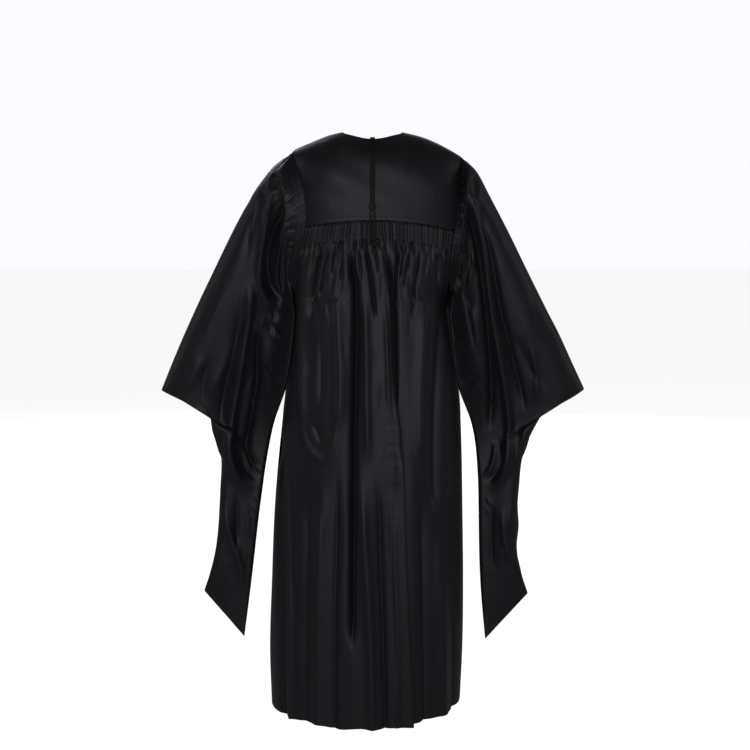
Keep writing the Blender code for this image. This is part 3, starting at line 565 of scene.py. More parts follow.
class Graph:
    """A node tree, with one call that adds a node and joins it."""

    def __init__(self, tree: bpy.types.NodeTree) -> None:
        """Keeps the tree, emptied."""
        self.tree = tree
        tree.nodes.clear()

    def add(self, kind: str, inputs: dict[str | int, Any] | None = None, **settings: Any) -> Any:
        """Adds a node.

        Args:
            kind: The node's type.
            inputs: A value or another node's output for each input, by name or place.
            **settings: The node's own settings.

        Returns:
            The node.
        """
        node = self.tree.nodes.new(kind)
        for name, value in settings.items():
            setattr(node, name, value)
        for key, value in (inputs or {}).items():
            if isinstance(value, bpy.types.NodeSocket):
                self.tree.links.new(value, node.inputs[key])
            else:
                node.inputs[key].default_value = value
        return node

    def math(self, operation: str, *values: Any) -> bpy.types.NodeSocket:
        """The output of a sum or other operation on values and outputs."""
        node = self.add("ShaderNodeMath", dict(enumerate(values)), operation=operation)
        return node.outputs[0]


def node_group(name: str, inputs: dict[str, float | str], outputs: Sequence[str]) -> bpy.types.NodeTree:
    """An empty node group with this interface.

    Args:
        name: The group's name.
        inputs: A number, or the word Vector, for each input.
        outputs: The outputs, each a number.

    Returns:
        The group's tree, with its input and output nodes.
    """
    tree = bpy.data.node_groups.new(name, "ShaderNodeTree")
    for label, value in inputs.items():
        kind = "NodeSocketVector" if isinstance(value, str) else "NodeSocketFloat"
        socket = tree.interface.new_socket(label, in_out="INPUT", socket_type=kind)
        if not isinstance(value, str):
            socket.default_value = value
    for label in outputs:
        tree.interface.new_socket(label, in_out="OUTPUT", socket_type="NodeSocketFloat")
    return tree


def satin_weave() -> bpy.types.NodeTree:
    """Fine threads across and along the cut, with slubs: a height and a shade.

    Returns:
        The node group.
    """
    inputs = {"Cut": "Vector", "Threads per metre": 2600.0, "Slub": 0.35}
    tree = node_group("satin_weave", inputs, ("Height", "Shade"))
    graph = Graph(tree)
    given = graph.add("NodeGroupInput").outputs
    scaled = graph.add(
        "ShaderNodeVectorMath", {0: given["Cut"], 3: given["Threads per metre"]}, operation="SCALE"
    )
    parts = graph.add("ShaderNodeSeparateXYZ", {0: scaled.outputs[0]}).outputs
    warp = graph.math("SINE", graph.math("MULTIPLY", parts[0], 2 * math.pi))
    weft = graph.math("SINE", graph.math("MULTIPLY", parts[1], 0.4 * math.pi))
    floats = graph.math("MULTIPLY", warp, graph.math("ADD", graph.math("MULTIPLY", weft, 0.3), 0.7))
    stretch = graph.add("ShaderNodeMapping", {0: given["Cut"], 3: (900.0, 22.0, 1.0)})
    slubs = graph.add("ShaderNodeTexNoise", {0: stretch.outputs[0], "Scale": 1.0, "Detail": 3.0})
    slub = graph.math("MULTIPLY", graph.math("SUBTRACT", slubs.outputs[0], 0.5), given["Slub"])
    height = graph.math("ADD", graph.math("MULTIPLY", floats, 0.5), slub)
    shade = graph.math("ADD", 0.5, slub)
    graph.add("NodeGroupOutput", {"Height": height, "Shade": shade})
    return tree


def soft_crinkle() -> bpy.types.NodeTree:
    """Small soft dents and pressed lines in hanging cloth: one height.

    Returns:
        The node group.
    """
    tree = node_group("soft_crinkle", {"Position": "Vector", "Size": 1.0}, ("Height",))
    graph = Graph(tree)
    given = graph.add("NodeGroupInput").outputs
    scaled = graph.add("ShaderNodeVectorMath", {0: given["Position"], 3: given["Size"]}, operation="SCALE")
    drawn = graph.add("ShaderNodeMapping", {0: scaled.outputs[0], 3: (26.0, 26.0, 9.0)})
    broad = graph.add(
        "ShaderNodeTexNoise", {0: drawn.outputs[0], "Scale": 1.0, "Detail": 2.0, "Distortion": 0.6}
    )
    close = graph.add("ShaderNodeTexNoise", {0: drawn.outputs[0], "Scale": 4.2, "Detail": 2.0})
    height = graph.math("ADD", broad.outputs[0], graph.math("MULTIPLY", close.outputs[0], 0.22))
    graph.add("NodeGroupOutput", {"Height": height})
    return tree


@dataclass(frozen=True)
class Finish:
    """A finish for cloth, cord, thread or metal.

    Attributes:
        name: The material's name.
        colour: Linear base colour.
        sheen_colour: Linear tint of the sheen.
        roughness: The shine's roughness.
        sheen: The sheen's weight.
        anisotropy: How far the shine is drawn out across the threads.
        specular: Specular level.
        metallic: 1 for metal.
        weave: The weave's strength in the normal.
        crinkle: The crinkle's strength in the normal.
        threads: Threads per metre of the weave.
        cut: Whether the weave follows the flat cut, or else the object's own places.
    """

    name: str
    colour: tuple[float, float, float]
    sheen_colour: tuple[float, float, float] = (0.6, 0.6, 0.75)
    roughness: float = 0.5
    sheen: float = 0.0
    anisotropy: float = 0.0
    specular: float = 0.5
    metallic: float = 0.0
    weave: float = 0.2
    crinkle: float = 0.2
    threads: float = 2600.0
    cut: bool = True

    def material(self, groups: dict[str, bpy.types.NodeTree]) -> Material:
        """Makes the material.

        Args:
            groups: The shared node groups by name.

        Returns:
            The material, with the weave on the flat cut and the crinkle on the object's own places.
        """
        made = bpy.data.materials.new(self.name)
        made.use_nodes = True
        graph = Graph(made.node_tree)
        place = graph.add("ShaderNodeTexCoord").outputs["Object"]
        cut = graph.add("ShaderNodeUVMap", uv_map="cut").outputs[0] if self.cut else place
        weave = graph.add("ShaderNodeGroup", node_tree=groups["satin_weave"])
        graph.tree.links.new(cut, weave.inputs["Cut"])
        weave.inputs["Threads per metre"].default_value = self.threads
        crinkle = graph.add("ShaderNodeGroup", node_tree=groups["soft_crinkle"])
        graph.tree.links.new(place, crinkle.inputs["Position"])
        soft = graph.add(
            "ShaderNodeBump",
            {"Strength": self.crinkle, "Distance": 0.004, "Height": crinkle.outputs[0]},
        )
        fine = graph.add(
            "ShaderNodeBump",
            {
                "Strength": self.weave,
                "Distance": 0.0001,
                "Height": weave.outputs[0],
                "Normal": soft.outputs[0],
            },
        )
        low = tuple(0.75 * part for part in self.colour) + (1.0,)
        high = tuple(1.25 * part for part in self.colour) + (1.0,)
        colour = graph.add(
            "ShaderNodeMix", {0: weave.outputs["Shade"], 6: low, 7: high}, data_type="RGBA"
        ).outputs[2]
        worn = graph.math("MULTIPLY_ADD", weave.outputs["Shade"], 0.12, self.roughness - 0.06)
        shader = graph.add(
            "ShaderNodeBsdfPrincipled",
            {
                "Base Color": colour,
                "Roughness": worn,
                "Metallic": self.metallic,
                "Specular IOR Level": self.specular,
                "Anisotropic": self.anisotropy,
                "Sheen Weight": self.sheen,
                "Sheen Roughness": 0.45,
                "Sheen Tint": (*self.sheen_colour, 1.0),
                "Normal": fine.outputs[0],
            },
        )
        if self.anisotropy:
            tangent = graph.add("ShaderNodeTangent", direction_type="UV_MAP", uv_map="cut")
            graph.tree.links.new(tangent.outputs[0], shader.inputs["Tangent"])
        graph.add("ShaderNodeOutputMaterial", {"Surface": shader.outputs[0]})
        made.diffuse_color = (*self.colour, 1.0)
        return made


SATIN_COLOUR = (0.0042, 0.0041, 0.0054)
CORD_COLOUR = (0.0075, 0.0072, 0.0042)
BUTTON_COLOUR = (0.0050, 0.0048, 0.0040)
SATIN = Finish(
    "black_satin", SATIN_COLOUR, roughness=0.47, sheen=0.02, anisotropy=0.25, specular=0.42, crinkle=0.26
)
BRAID = Finish("black_braid", CORD_COLOUR, roughness=0.8, specular=0.2, weave=0.8, threads=700.0)
PLAITED = Finish("plaited_cord", CORD_COLOUR, roughness=0.75, specular=0.25, weave=0.5, cut=False)
COVERED = Finish("covered_button", BUTTON_COLOUR, roughness=0.6, specular=0.3, weave=0.4, cut=False)
THREAD = Finish("black_thread", (0.0060, 0.0060, 0.0070), roughness=0.6, weave=0.3, crinkle=0.0, cut=False)
TAPE = Finish("zip_tape_weave", (0.008, 0.008, 0.009), roughness=0.8, weave=0.9, crinkle=0.0, cut=False)
METAL = Finish(
    "black_metal", (0.030, 0.030, 0.032), roughness=0.32, metallic=1.0, weave=0.0, crinkle=0.05, cut=False
)


@dataclass(frozen=True)
class Flutes:
    """Close rounded pleats that a seam holds, and the looser pleats that open from them.

    Attributes:
        count: Flutes along the seam.
        depth: How far they stand out.
        length: How far they are held.
        pleats: Looser pleats along the seam.
        pleat_depth: How far those stand out.
        pleat_length: The length of the longest.
        bulge: How far the cloth swells out below the held part.
        seed: Seed of their unevenness.
    """

    count: int
    depth: float
    length: float
    pleats: int
    pleat_depth: float
    pleat_length: float
    bulge: float
    seed: int

    def shift(self, share: Array, drop: Array) -> Array:
        """How far the cloth stands out at a share of the seam's length and a distance from it.

        A flute is the root of a sine's size, so that it is round on top and sharp between. The looser
        pleats are bells of seeded place, width and length.

        Args:
            share: Place along the seam, from 0 to 1.
            drop: Distance from the seam, in metres.

        Returns:
            The shift along the normal.
        """
        uneven = share * self.count + 0.22 * wander(share * self.count, self.seed, 3.0)
        end = self.length * (1 + 0.10 * wander(share * self.count, self.seed + 3, 4.0))
        held = ease(0.0, 0.002, drop) * (1 - ease(0.80, 1.40, drop / end))
        dents = 1 - 0.45 * np.cos(math.pi * drop / 0.0112) ** 6
        size = 1 + 0.25 * wander(share * self.count, self.seed + 1, 5.0)
        moved = self.depth * size * dents * held * (2 * np.abs(np.sin(math.pi * uneven)) ** 0.65 - 1)
        bulge = ease(0.85, 1.45, drop / end) * (1 - ease(1.8, 4.0, drop / end))
        moved = moved + self.bulge * bulge
        rng = np.random.default_rng(self.seed + 2)
        spots = (np.arange(self.pleats) + 0.5 + rng.uniform(-0.42, 0.42, self.pleats)) / self.pleats
        widths = rng.uniform(0.09, 0.19, self.pleats) / self.pleats
        lengths = self.pleat_length * rng.uniform(0.25, 1.0, self.pleats)
        depths = self.pleat_depth * rng.uniform(0.4, 1.0, self.pleats)
        leans = rng.uniform(-0.6, 0.6, self.pleats) / self.pleats
        start = self.length * 0.85
        for spot, width, length, depth, lean in zip(spots, widths, lengths, depths, leans):
            down = np.clip((drop - start) / length, 0, 1)
            shape = trough((share - spot - lean * down) / (width * (1 + 0.8 * down)))
            moved = moved - depth * shape * ease(0.0, 0.12, down) * (1 - ease(0.25, 1.0, down))
        return moved


@dataclass(frozen=True)
class Crease:
    """A trough or a ridge in hanging cloth, along a smooth path.

    Attributes:
        path: The x and z of a few points along it.
        width: The half width of the trough or ridge.
        depth: How far it stands out, or lies in if this is negative.
        fade: The share of its length over which it fades at each end.
    """

    path: tuple[tuple[float, float], ...]
    width: float
    depth: float
    fade: float = 0.2

    def shift(self, x: Array, z: Array) -> Array:
        """How far the crease moves the cloth outwards.

        A ridge is a bell across the path. A trough is the exponential of a softened distance, so that
        it is narrow at its bottom.

        Args:
            x: Distances from the middle.
            z: Heights, of the same shape.

        Returns:
            The shift along the normal.
        """
        moved = np.zeros(x.shape)
        knots = Table(("knot", "x", "z"), tuple((k, *point) for k, point in enumerate(self.path)))
        places = np.linspace(0, len(self.path) - 1, 8 * (len(self.path) - 1) + 1)
        line = np.stack([knots.at("x", places), knots.at("z", places)], axis=-1)
        low, high = line.min(axis=0) - 4 * self.width, line.max(axis=0) + 4 * self.width
        near = (x > low[0]) & (x < high[0]) & (z > low[1]) & (z < high[1])
        if not near.any():
            return moved
        steps = np.diff(line, axis=0)
        lengths = np.linalg.norm(steps, axis=1)
        offset = np.stack([x[near], z[near]], axis=-1)[:, None] - line[:-1]
        along = np.clip((offset * steps).sum(axis=-1) / lengths**2, 0, 1)
        gaps = np.linalg.norm(offset - along[..., None] * steps, axis=-1)
        closest = gaps.argmin(axis=1)
        chosen = np.arange(len(closest)), closest
        start = np.concatenate([[0], np.cumsum(lengths)])[closest]
        share = (start + along[chosen] * lengths[closest]) / lengths.sum()
        away = gaps[chosen] / self.width
        across = bell(away, 1.0) if self.depth > 0 else trough(away)
        moved[near] = self.depth * across * ease(0, self.fade, share) * ease(0, self.fade, 1 - share)
        return moved


@dataclass(frozen=True)
class SmallCreases:
    """Many short creases at seeded places.

    Attributes:
        count: How many.
        low: The least x and z of their middles.
        high: The greatest x and z of their middles.
        lean: How far they lean sideways for each unit of height.
        length: The longest one's length.
        width: The widest one's half width.
        depth: The deepest one's depth.
        seed: Seed of their places and sizes.
    """

    count: int
    low: tuple[float, float]
    high: tuple[float, float]
    lean: float
    length: float
    width: float
    depth: float
    seed: int

    def creases(self) -> list[Crease]:
        """The creases, each with a slight bend, some of them troughs and some ridges.

        Returns:
            The creases.
        """
        rng = np.random.default_rng(self.seed)
        middles = rng.uniform(self.low, self.high, (self.count, 2))
        halves = self.length * rng.uniform(0.15, 0.5, self.count)
        leans = self.lean + rng.uniform(-0.22, 0.22, self.count)
        bends = halves * rng.uniform(-0.16, 0.16, self.count)
        widths = self.width * rng.uniform(0.45, 1.0, self.count)
        depths = self.depth * rng.uniform(0.3, 1.0, self.count) * rng.choice((-1, 1), self.count)
        made = []
        for (x, z), half, lean, bend, width, depth in zip(middles, halves, leans, bends, widths, depths):
            path = ((x + half * lean, z + half), (x + bend, z), (x - half * lean, z - half))
            made.append(Crease(path, width, depth, 0.5))
        return made


def creased(creases: Sequence[Crease | SmallCreases], x: Array, z: Array) -> Array:
    """The sum of the shifts of all these creases."""
    single: list[Crease] = []
    for crease in creases:
        single += crease.creases() if isinstance(crease, SmallCreases) else [crease]
    return np.sum([crease.shift(x, z) for crease in single], axis=0)


def drawn(*rows: tuple[float, ...]) -> tuple[Crease, ...]:
    """Creases from rows of numbers, all in millimetres but for the fade.

    Args:
        *rows: For each crease its half width, depth and fade, then x and z of each point by turns.

    Returns:
        The creases.
    """
    made = []
    for width, depth, fade, *places in rows:
        path = tuple(tuple(point) for point in np.reshape(places, (-1, 2)) / 1000)
        made.append(Crease(path, width / 1000, depth / 1000, fade))
    return tuple(made)


BACK_CREASES = drawn(
    (6.6, -14.7, 0.2, 106, -239, 121, -287, 131, -343, 133, -404),
    (3.2, -8.1, 0.25, 89, -241, 106, -297, 115, -360),
    (2.8, -6.8, 0.3, 78, -241, 84, -269, 89, -303),
    (3, -5.3, 0.3, 65, -239, 65, -273, 69, -319),
    (6.2, -24, 0.08, 50, -234, 44, -285, 37, -336, 37, -459, 40, -609, 42, -782, 44, -957, 45, -1112),
    (2.8, -5.6, 0.3, 31, -238, 27, -272, 25, -315),
    (3.4, -9.6, 0.25, 16, -236, 3, -310, -8, -399),
    (2.6, -5.3, 0.3, -3, -238, -10, -272, -14, -302),
    (5.2, -17, 0.12, -25, -243, -35, -289, -46, -362, -50, -468, -53, -609, -55, -717),
    (3.4, -10.1, 0.25, -57, -239, -50, -302, -46, -370),
    (2.8, -6.2, 0.3, -69, -241, -63, -273, -59, -315),
    (3, -7.4, 0.3, -82, -241, -72, -290, -65, -336),
    (3.6, -9.6, 0.25, -104, -243, -93, -303, -85, -397),
    (2.8, -5.9, 0.3, -119, -248, -115, -274, -111, -304),
    (3.4, -6.2, 0.3, -137, -253, -141, -288, -142, -323),
    (13, -15.5, 0.15, -164, -290, -160, -360, -151, -466, -142, -594, -140, -724, -143, -835),
    (9.5, 8.1, 0.2, 132, -266, 148, -328, 153, -423, 153, -553, 149, -652),
    (11, 9.4, 0.2, 76, -324, 72, -417, 68, -537, 74, -645),
    (8.5, 6.9, 0.2, 16, -332, 14, -438, 12, -566, 10, -716),
    (12.5, 9.4, 0.2, -111, -338, -107, -440, -102, -569, -103, -720),
    (6, 5, 0.25, -27, -353, -33, -480, -35, -609),
    (6, -5.6, 0.3, 113, -419, 113, -505, 115, -591),
    (7, 4.2, 0.3, 156, -579, 149, -652, 129, -686, 103, -698, 83, -662, 76, -584),
    (6, -6.2, 0.35, 131, -615, 116, -652, 100, -663),
    (5.5, 6.9, 0.12, 192, -587, 187, -757, 183, -978, 182, -1254, 184, -1396),
    (7, -9.3, 0.12, 208, -637, 204, -810, 200, -1032, 200, -1265, 201, -1409),
    (12, -8.5, 0.2, 140, -724, 146, -924, 151, -1150, 153, -1382),
    (12.5, 8.8, 0.2, 107, -720, 114, -919, 120, -1143, 121, -1419),
    (8, -7.8, 0.2, 76, -696, 79, -871, 84, -1093, 85, -1412),
    (10.5, 9.4, 0.2, 25, -716, 14, -912, 3, -1133, 1, -1405),
    (8.5, -10.9, 0.2, -12, -716, -18, -912, -25, -1133, -30, -1406),
    (5.5, 4.4, 0.2, -40, -738, -44, -913, -51, -1090, -56, -1408),
    (12, -10.9, 0.2, -107, -742, -112, -918, -117, -1143, -121, -1419),
    (11, 8.8, 0.2, -143, -835, -150, -1014, -156, -1197, -157, -1430),
    (7, -7.8, 0.2, -174, -753, -180, -933, -184, -1161, -186, -1445),
) + (
    SmallCreases(22, (-0.150, -0.560), (0.150, -0.300), 0.0, 0.160, 0.0080, 0.0022, 101),
    SmallCreases(22, (-0.180, -1.200), (0.190, -0.560), 0.0, 0.300, 0.0130, 0.0024, 102),
)
FRONT_CREASES = drawn(
    (16, 8, 0.2, 62, -160, 64, -460, 60, -760),
    (8, -6, 0.2, 40, -140, 43, -330, 38, -520),
    (10, -10.5, 0.2, 95, -190, 91, -520, 94, -880),
    (17, 8, 0.2, 130, -220, 135, -580, 132, -960),
    (16, 8, 0.2, -58, -150, -55, -440, -62, -720),
    (8, -6, 0.2, -36, -150, -40, -350, -40, -560),
    (10, -10.5, 0.2, -92, -190, -88, -550, -96, -920),
    (17, 8, 0.2, -128, -230, -130, -580, -124, -940),
    (11, -9.5, 0.2, 60, -720, 58, -1000, 64, -1400),
    (13, 6, 0.2, 34, -800, 37, -1100, 34, -1400),
    (18, 9, 0.2, 100, -780, 97, -1080, 104, -1400),
    (11, -8, 0.2, 150, -740, 153, -1070, 150, -1400),
    (15, 7, 0.2, 184, -640, 187, -1000, 182, -1400),
    (13, 6, 0.2, -34, -820, -36, -1100, -32, -1400),
    (11, -9.5, 0.2, -58, -700, -55, -1050, -62, -1400),
    (18, 9, 0.2, -96, -760, -100, -1080, -98, -1400),
    (11, -8, 0.2, -134, -720, -131, -1060, -138, -1400),
    (15, 7, 0.2, -168, -700, -171, -1050, -166, -1400),
) + (
    SmallCreases(22, (-0.150, -0.560), (0.150, -0.260), 0.0, 0.160, 0.0080, 0.0022, 103),
    SmallCreases(22, (-0.180, -1.200), (0.190, -0.560), 0.0, 0.300, 0.0130, 0.0024, 104),
)
LEFT_SLEEVE_CREASES = drawn(
    (8.5, -18.8, 0.18, 192, -116, 203, -176, 220, -245, 225, -299, 215, -343, 189, -369),
    (8, 9, 0.2, 210, -86, 222, -151, 237, -228, 248, -312, 235, -360, 196, -392),
    (5, 8.3, 0.2, 188, -180, 200, -237, 209, -286, 209, -329, 187, -358),
    (4.3, -4, 0.3, 186, -215, 187, -250, 188, -286),
    (5.5, 4.6, 0.2, 176, -228, 183, -254, 183, -308, 185, -351),
    (6.2, -14.5, 0.2, 174, -237, 166, -273, 162, -312, 164, -347),
    (5.8, -6.3, 0.3, 199, -86, 207, -104, 214, -125),
    (6.5, -5.4, 0.35, 239, -116, 235, -138, 225, -160),
    (5.1, 3.7, 0.3, 214, -78, 222, -104, 222, -134),
    (6.5, 4.2, 0.3, 198, -108, 211, -125, 220, -151, 227, -180),
    (8, -5.1, 0.35, 253, -147, 268, -211, 275, -277),
    (7, -17.4, 0.15, 250, -414, 253, -481, 259, -557, 272, -634, 280, -694, 265, -746, 245, -770),
    (11.5, 15, 0.18, 261, -299, 274, -392, 294, -514, 317, -638, 321, -703, 303, -765, 262, -796),
    (6.1, 5.1, 0.3, 287, -685, 277, -727, 248, -763),
    (6.1, -5.4, 0.3, 295, -703, 284, -746, 253, -780),
    (13, -10.9, 0.2, 266, -356, 304, -473, 332, -591, 341, -657),
    (16, 5.3, 0.3, 294, -432, 337, -528, 371, -591),
    (5.2, 3.9, 0.3, 236, -392, 209, -418, 183, -437),
    (4.9, -4.2, 0.3, 241, -405, 215, -434, 183, -457),
    (5.2, 3.2, 0.3, 237, -423, 215, -450, 191, -477),
    (5.2, -3.2, 0.3, 231, -374, 205, -396, 183, -410),
    (5.2, 3.3, 0.3, 238, -505, 220, -528, 198, -546),
    (4.9, -3.2, 0.3, 239, -520, 224, -543, 203, -559),
    (5.8, -2.4, 0.35, 224, -455, 209, -473, 189, -496),
    (10, 6.3, 0.3, 338, -808, 324, -881, 301, -967, 296, -1046),
    (8, -5.1, 0.3, 308, -793, 305, -866, 307, -943),
    (5.8, 2.2, 0.35, 286, -813, 282, -860, 279, -924),
    (3.5, 2.2, 0.3, 267, -804, 258, -817, 251, -827),
    (3.5, 2, 0.3, 275, -825, 265, -839, 254, -849),
    (3.5, 1.9, 0.3, 279, -849, 268, -864, 259, -870),
    (8, -3.6, 0.35, 344, -1046, 332, -1087, 316, -1122),
    (12, 4.2, 0.35, 421, -574, 395, -528, 371, -481),
    (9, -4.3, 0.35, 375, -601, 373, -546, 358, -481),
    (6, 5.3, 0.35, 362, -624, 346, -685, 320, -737),
) + (
    SmallCreases(16, (0.210, -0.700), (0.320, -0.150), -0.25, 0.150, 0.0090, 0.0020, 105),
    SmallCreases(9, (0.270, -1.000), (0.330, -0.700), 0.15, 0.120, 0.0080, 0.0018, 106),
    SmallCreases(9, (0.330, -0.540), (0.420, -0.360), -0.45, 0.160, 0.0130, 0.0016, 107),
)
RIGHT_SLEEVE_CREASES = drawn(
    (6.5, -17.4, 0.12, 198, -112, 216, -211, 231, -299, 244, -388, 255, -477, 265, -591, 261, -666),
    (9, 15, 0.12, 205, -112, 234, -202, 249, -281, 264, -388, 282, -481, 302, -597,
     307, -690, 290, -765, 254, -796),
    (8.5, -13.8, 0.15, 214, -129, 234, -185, 253, -250, 268, -329, 280, -392, 297, -455,
     321, -546, 345, -624),
    (5.5, 5.1, 0.3, 266, -680, 275, -703, 267, -742, 245, -770),
    (6.5, -5.8, 0.3, 289, -699, 281, -746, 254, -782),
    (6, -15.9, 0.25, 183, -281, 177, -316, 173, -356),
    (5.2, 5.1, 0.2, 192, -206, 201, -273, 194, -325, 173, -367),
    (5.8, -5.4, 0.25, 205, -202, 211, -259, 224, -329),
    (5, 6.7, 0.3, 216, -254, 218, -294, 209, -336),
    (4.3, -4, 0.3, 217, -86, 224, -112, 220, -138),
    (4.3, 3.3, 0.3, 231, -104, 229, -125, 227, -147),
    (4.3, 4.2, 0.3, 194, -116, 203, -160, 208, -193),
    (4.1, 3.7, 0.3, 168, -427, 181, -423, 196, -414),
    (4.3, 3.9, 0.3, 170, -434, 183, -446, 201, -457),
    (4.3, -3, 0.3, 166, -446, 183, -459, 200, -473),
    (4.3, -3, 0.3, 170, -414, 185, -410, 200, -401),
    (6.1, 4.2, 0.3, 189, -539, 211, -548, 241, -528),
    (5.8, -3.2, 0.3, 187, -552, 211, -565, 241, -548),
    (9, 5.3, 0.3, 215, -365, 230, -432, 235, -500),
    (7.5, 5.1, 0.3, 346, -450, 361, -528, 365, -597),
    (13, -4.9, 0.3, 309, -432, 347, -514, 387, -565),
    (9, 6, 0.3, 292, -827, 298, -900, 314, -973),
    (7, -4.9, 0.3, 269, -817, 268, -900, 272, -986),
    (3.5, 2.2, 0.3, 255, -808, 262, -820, 273, -827),
    (3.5, 2, 0.3, 253, -832, 262, -847, 271, -853),
    (8, -3.6, 0.35, 296, -1046, 289, -1087, 280, -1127),
    (6, 5.3, 0.35, 342, -638, 334, -685, 321, -731),
) + (
    SmallCreases(16, (0.205, -0.700), (0.310, -0.150), -0.25, 0.150, 0.0090, 0.0020, 108),
    SmallCreases(9, (0.255, -1.000), (0.315, -0.700), 0.10, 0.120, 0.0080, 0.0018, 109),
    SmallCreases(9, (0.330, -0.540), (0.420, -0.360), -0.45, 0.160, 0.0130, 0.0016, 110),
)


def contour(points: Array, normals: Array, measure: Array, value: float) -> tuple[Array, Array]:
    """The line down a grid on which a measure has this value.

    Args:
        points: Rows by columns of points.
        normals: The normals there.
        measure: The measure at each point, rising or falling along each row.
        value: The value that is looked for.

    Returns:
        The line's points and normals, one for each row that has the value.
    """
    above = measure >= value
    crossed = above[:, :-1] != above[:, 1:]
    rows = np.flatnonzero(crossed.any(axis=1))
    first = crossed[rows].argmax(axis=1)
    low, high = measure[rows, first], measure[rows, first + 1]
    part = ((value - low) / (high - low))[:, None]
    line = points[rows, first] * (1 - part) + points[rows, first + 1] * part
    return line, unit(normals[rows, first] * (1 - part) + normals[rows, first + 1] * part)


@dataclass
class Stitching:
    """Lines of machine stitches: short capsules end to end, half sunk in the cloth.

    Attributes:
        finish: The thread's material.
        pitch: Distance from one stitch to the next.
        length: Length of a stitch.
        radius: Its radius.
        sides: Its sides.
        parts: The vertices of each line's stitches, made so far.
    """

    finish: Material
    pitch: float = 0.0034
    length: float = 0.0026
    radius: float = 0.00030
    sides: int = 5
    parts: list[Array] = field(default_factory=list)

    def add(self, line: Array, normals: Array) -> None:
        """Sews along a line of points.

        A stitch is four rings about its own straight axis, the first and last almost closed.

        Args:
            line: The points, in order.
            normals: The cloth's normals there.
        """
        run = travelled(line, 0)
        count = max(int(run[-1] / self.pitch), 1)
        middles = (np.arange(count) + 0.5) * run[-1] / count
        ends = middles[:, None] + np.array([-0.5, 0.5]) * self.length
        places = np.stack([np.interp(ends, run, line[:, k]) for k in range(3)], axis=-1)
        outward = unit(np.stack([np.interp(middles, run, normals[:, k]) for k in range(3)], axis=-1))
        along = places[:, 1] - places[:, 0]
        beside = unit(np.cross(along, outward))
        turn = np.arange(self.sides) * 2 * math.pi / self.sides
        shares, sizes = np.array([0.0, 0.14, 0.86, 1.0]), np.array([0.05, 1.0, 1.0, 0.05]) * self.radius
        spine = places[:, 0][:, None] + along[:, None] * shares[:, None]
        across = outward[:, None] * np.cos(turn)[:, None] + beside[:, None] * np.sin(turn)[:, None]
        rings = spine[:, :, None] + across[:, None] * sizes[:, None, None]
        self.parts.append(rings + outward[:, None, None] * self.radius * 0.3)

    def trace(self, points: Array, normals: Array, measure: Array, value: float) -> None:
        """Sews down a grid, along the line on which a measure has this value."""
        self.add(*contour(points, normals, measure, value))

    def build(self) -> Object:
        """Makes all the stitches as one mesh.

        Returns:
            The stitches' object.
        """
        rings = np.concatenate(self.parts)
        number = np.arange(rings[..., 0].size).reshape(rings.shape[:3])
        ahead = np.roll(number, -1, axis=2)
        faces = np.stack([number[:, :-1], ahead[:, :-1], ahead[:, 1:], number[:, 1:]], axis=-1)
        made = add_mesh("stitches", rings.reshape(-1, 3), faces.reshape(-1, 4), self.finish)
        return settle(made, "satin")


@dataclass(frozen=True)
class PanelSizes:
    """Sizes of the back and front panels.

    Attributes:
        under_yoke: How far the cloth runs up behind the yoke's edge.
        under_depth: How far it lies below it there.
        fold_start: Height at which the loose pleat begins to lie over.
        fold_full: Height below which it lies over in full.
        fold_width: Half the width of the fold's turn.
        fold_lap: How far the fold is drawn over, before its shape's share of it.
        fold_depth: How far its two layers stand apart, in the same way.
        pucker: Depth of the seam's puckers.
        allowance: How far the left panel runs on under the right one at the seam.
        side_lap: How far each panel runs on under the front one at the side seam, in degrees.
        side_depth: How far it lies below it there.
        hem_turn: Width of the hem.
        hem_depth: Thickness of the turned hem.
        zip_line: Distance of the stitches beside the zip from the cloth's edge.
    """

    under_yoke: float = 0.008
    under_depth: float = 0.0030
    fold_start: float = -0.500
    fold_full: float = -0.660
    fold_width: float = 0.0085
    fold_lap: float = 0.0200
    fold_depth: float = 0.0150
    pucker: float = 0.0008
    allowance: float = 0.0030
    side_lap: float = 1.0
    side_depth: float = 0.0012
    hem_turn: float = 0.025
    hem_depth: float = 0.0012
    zip_line: float = 0.011


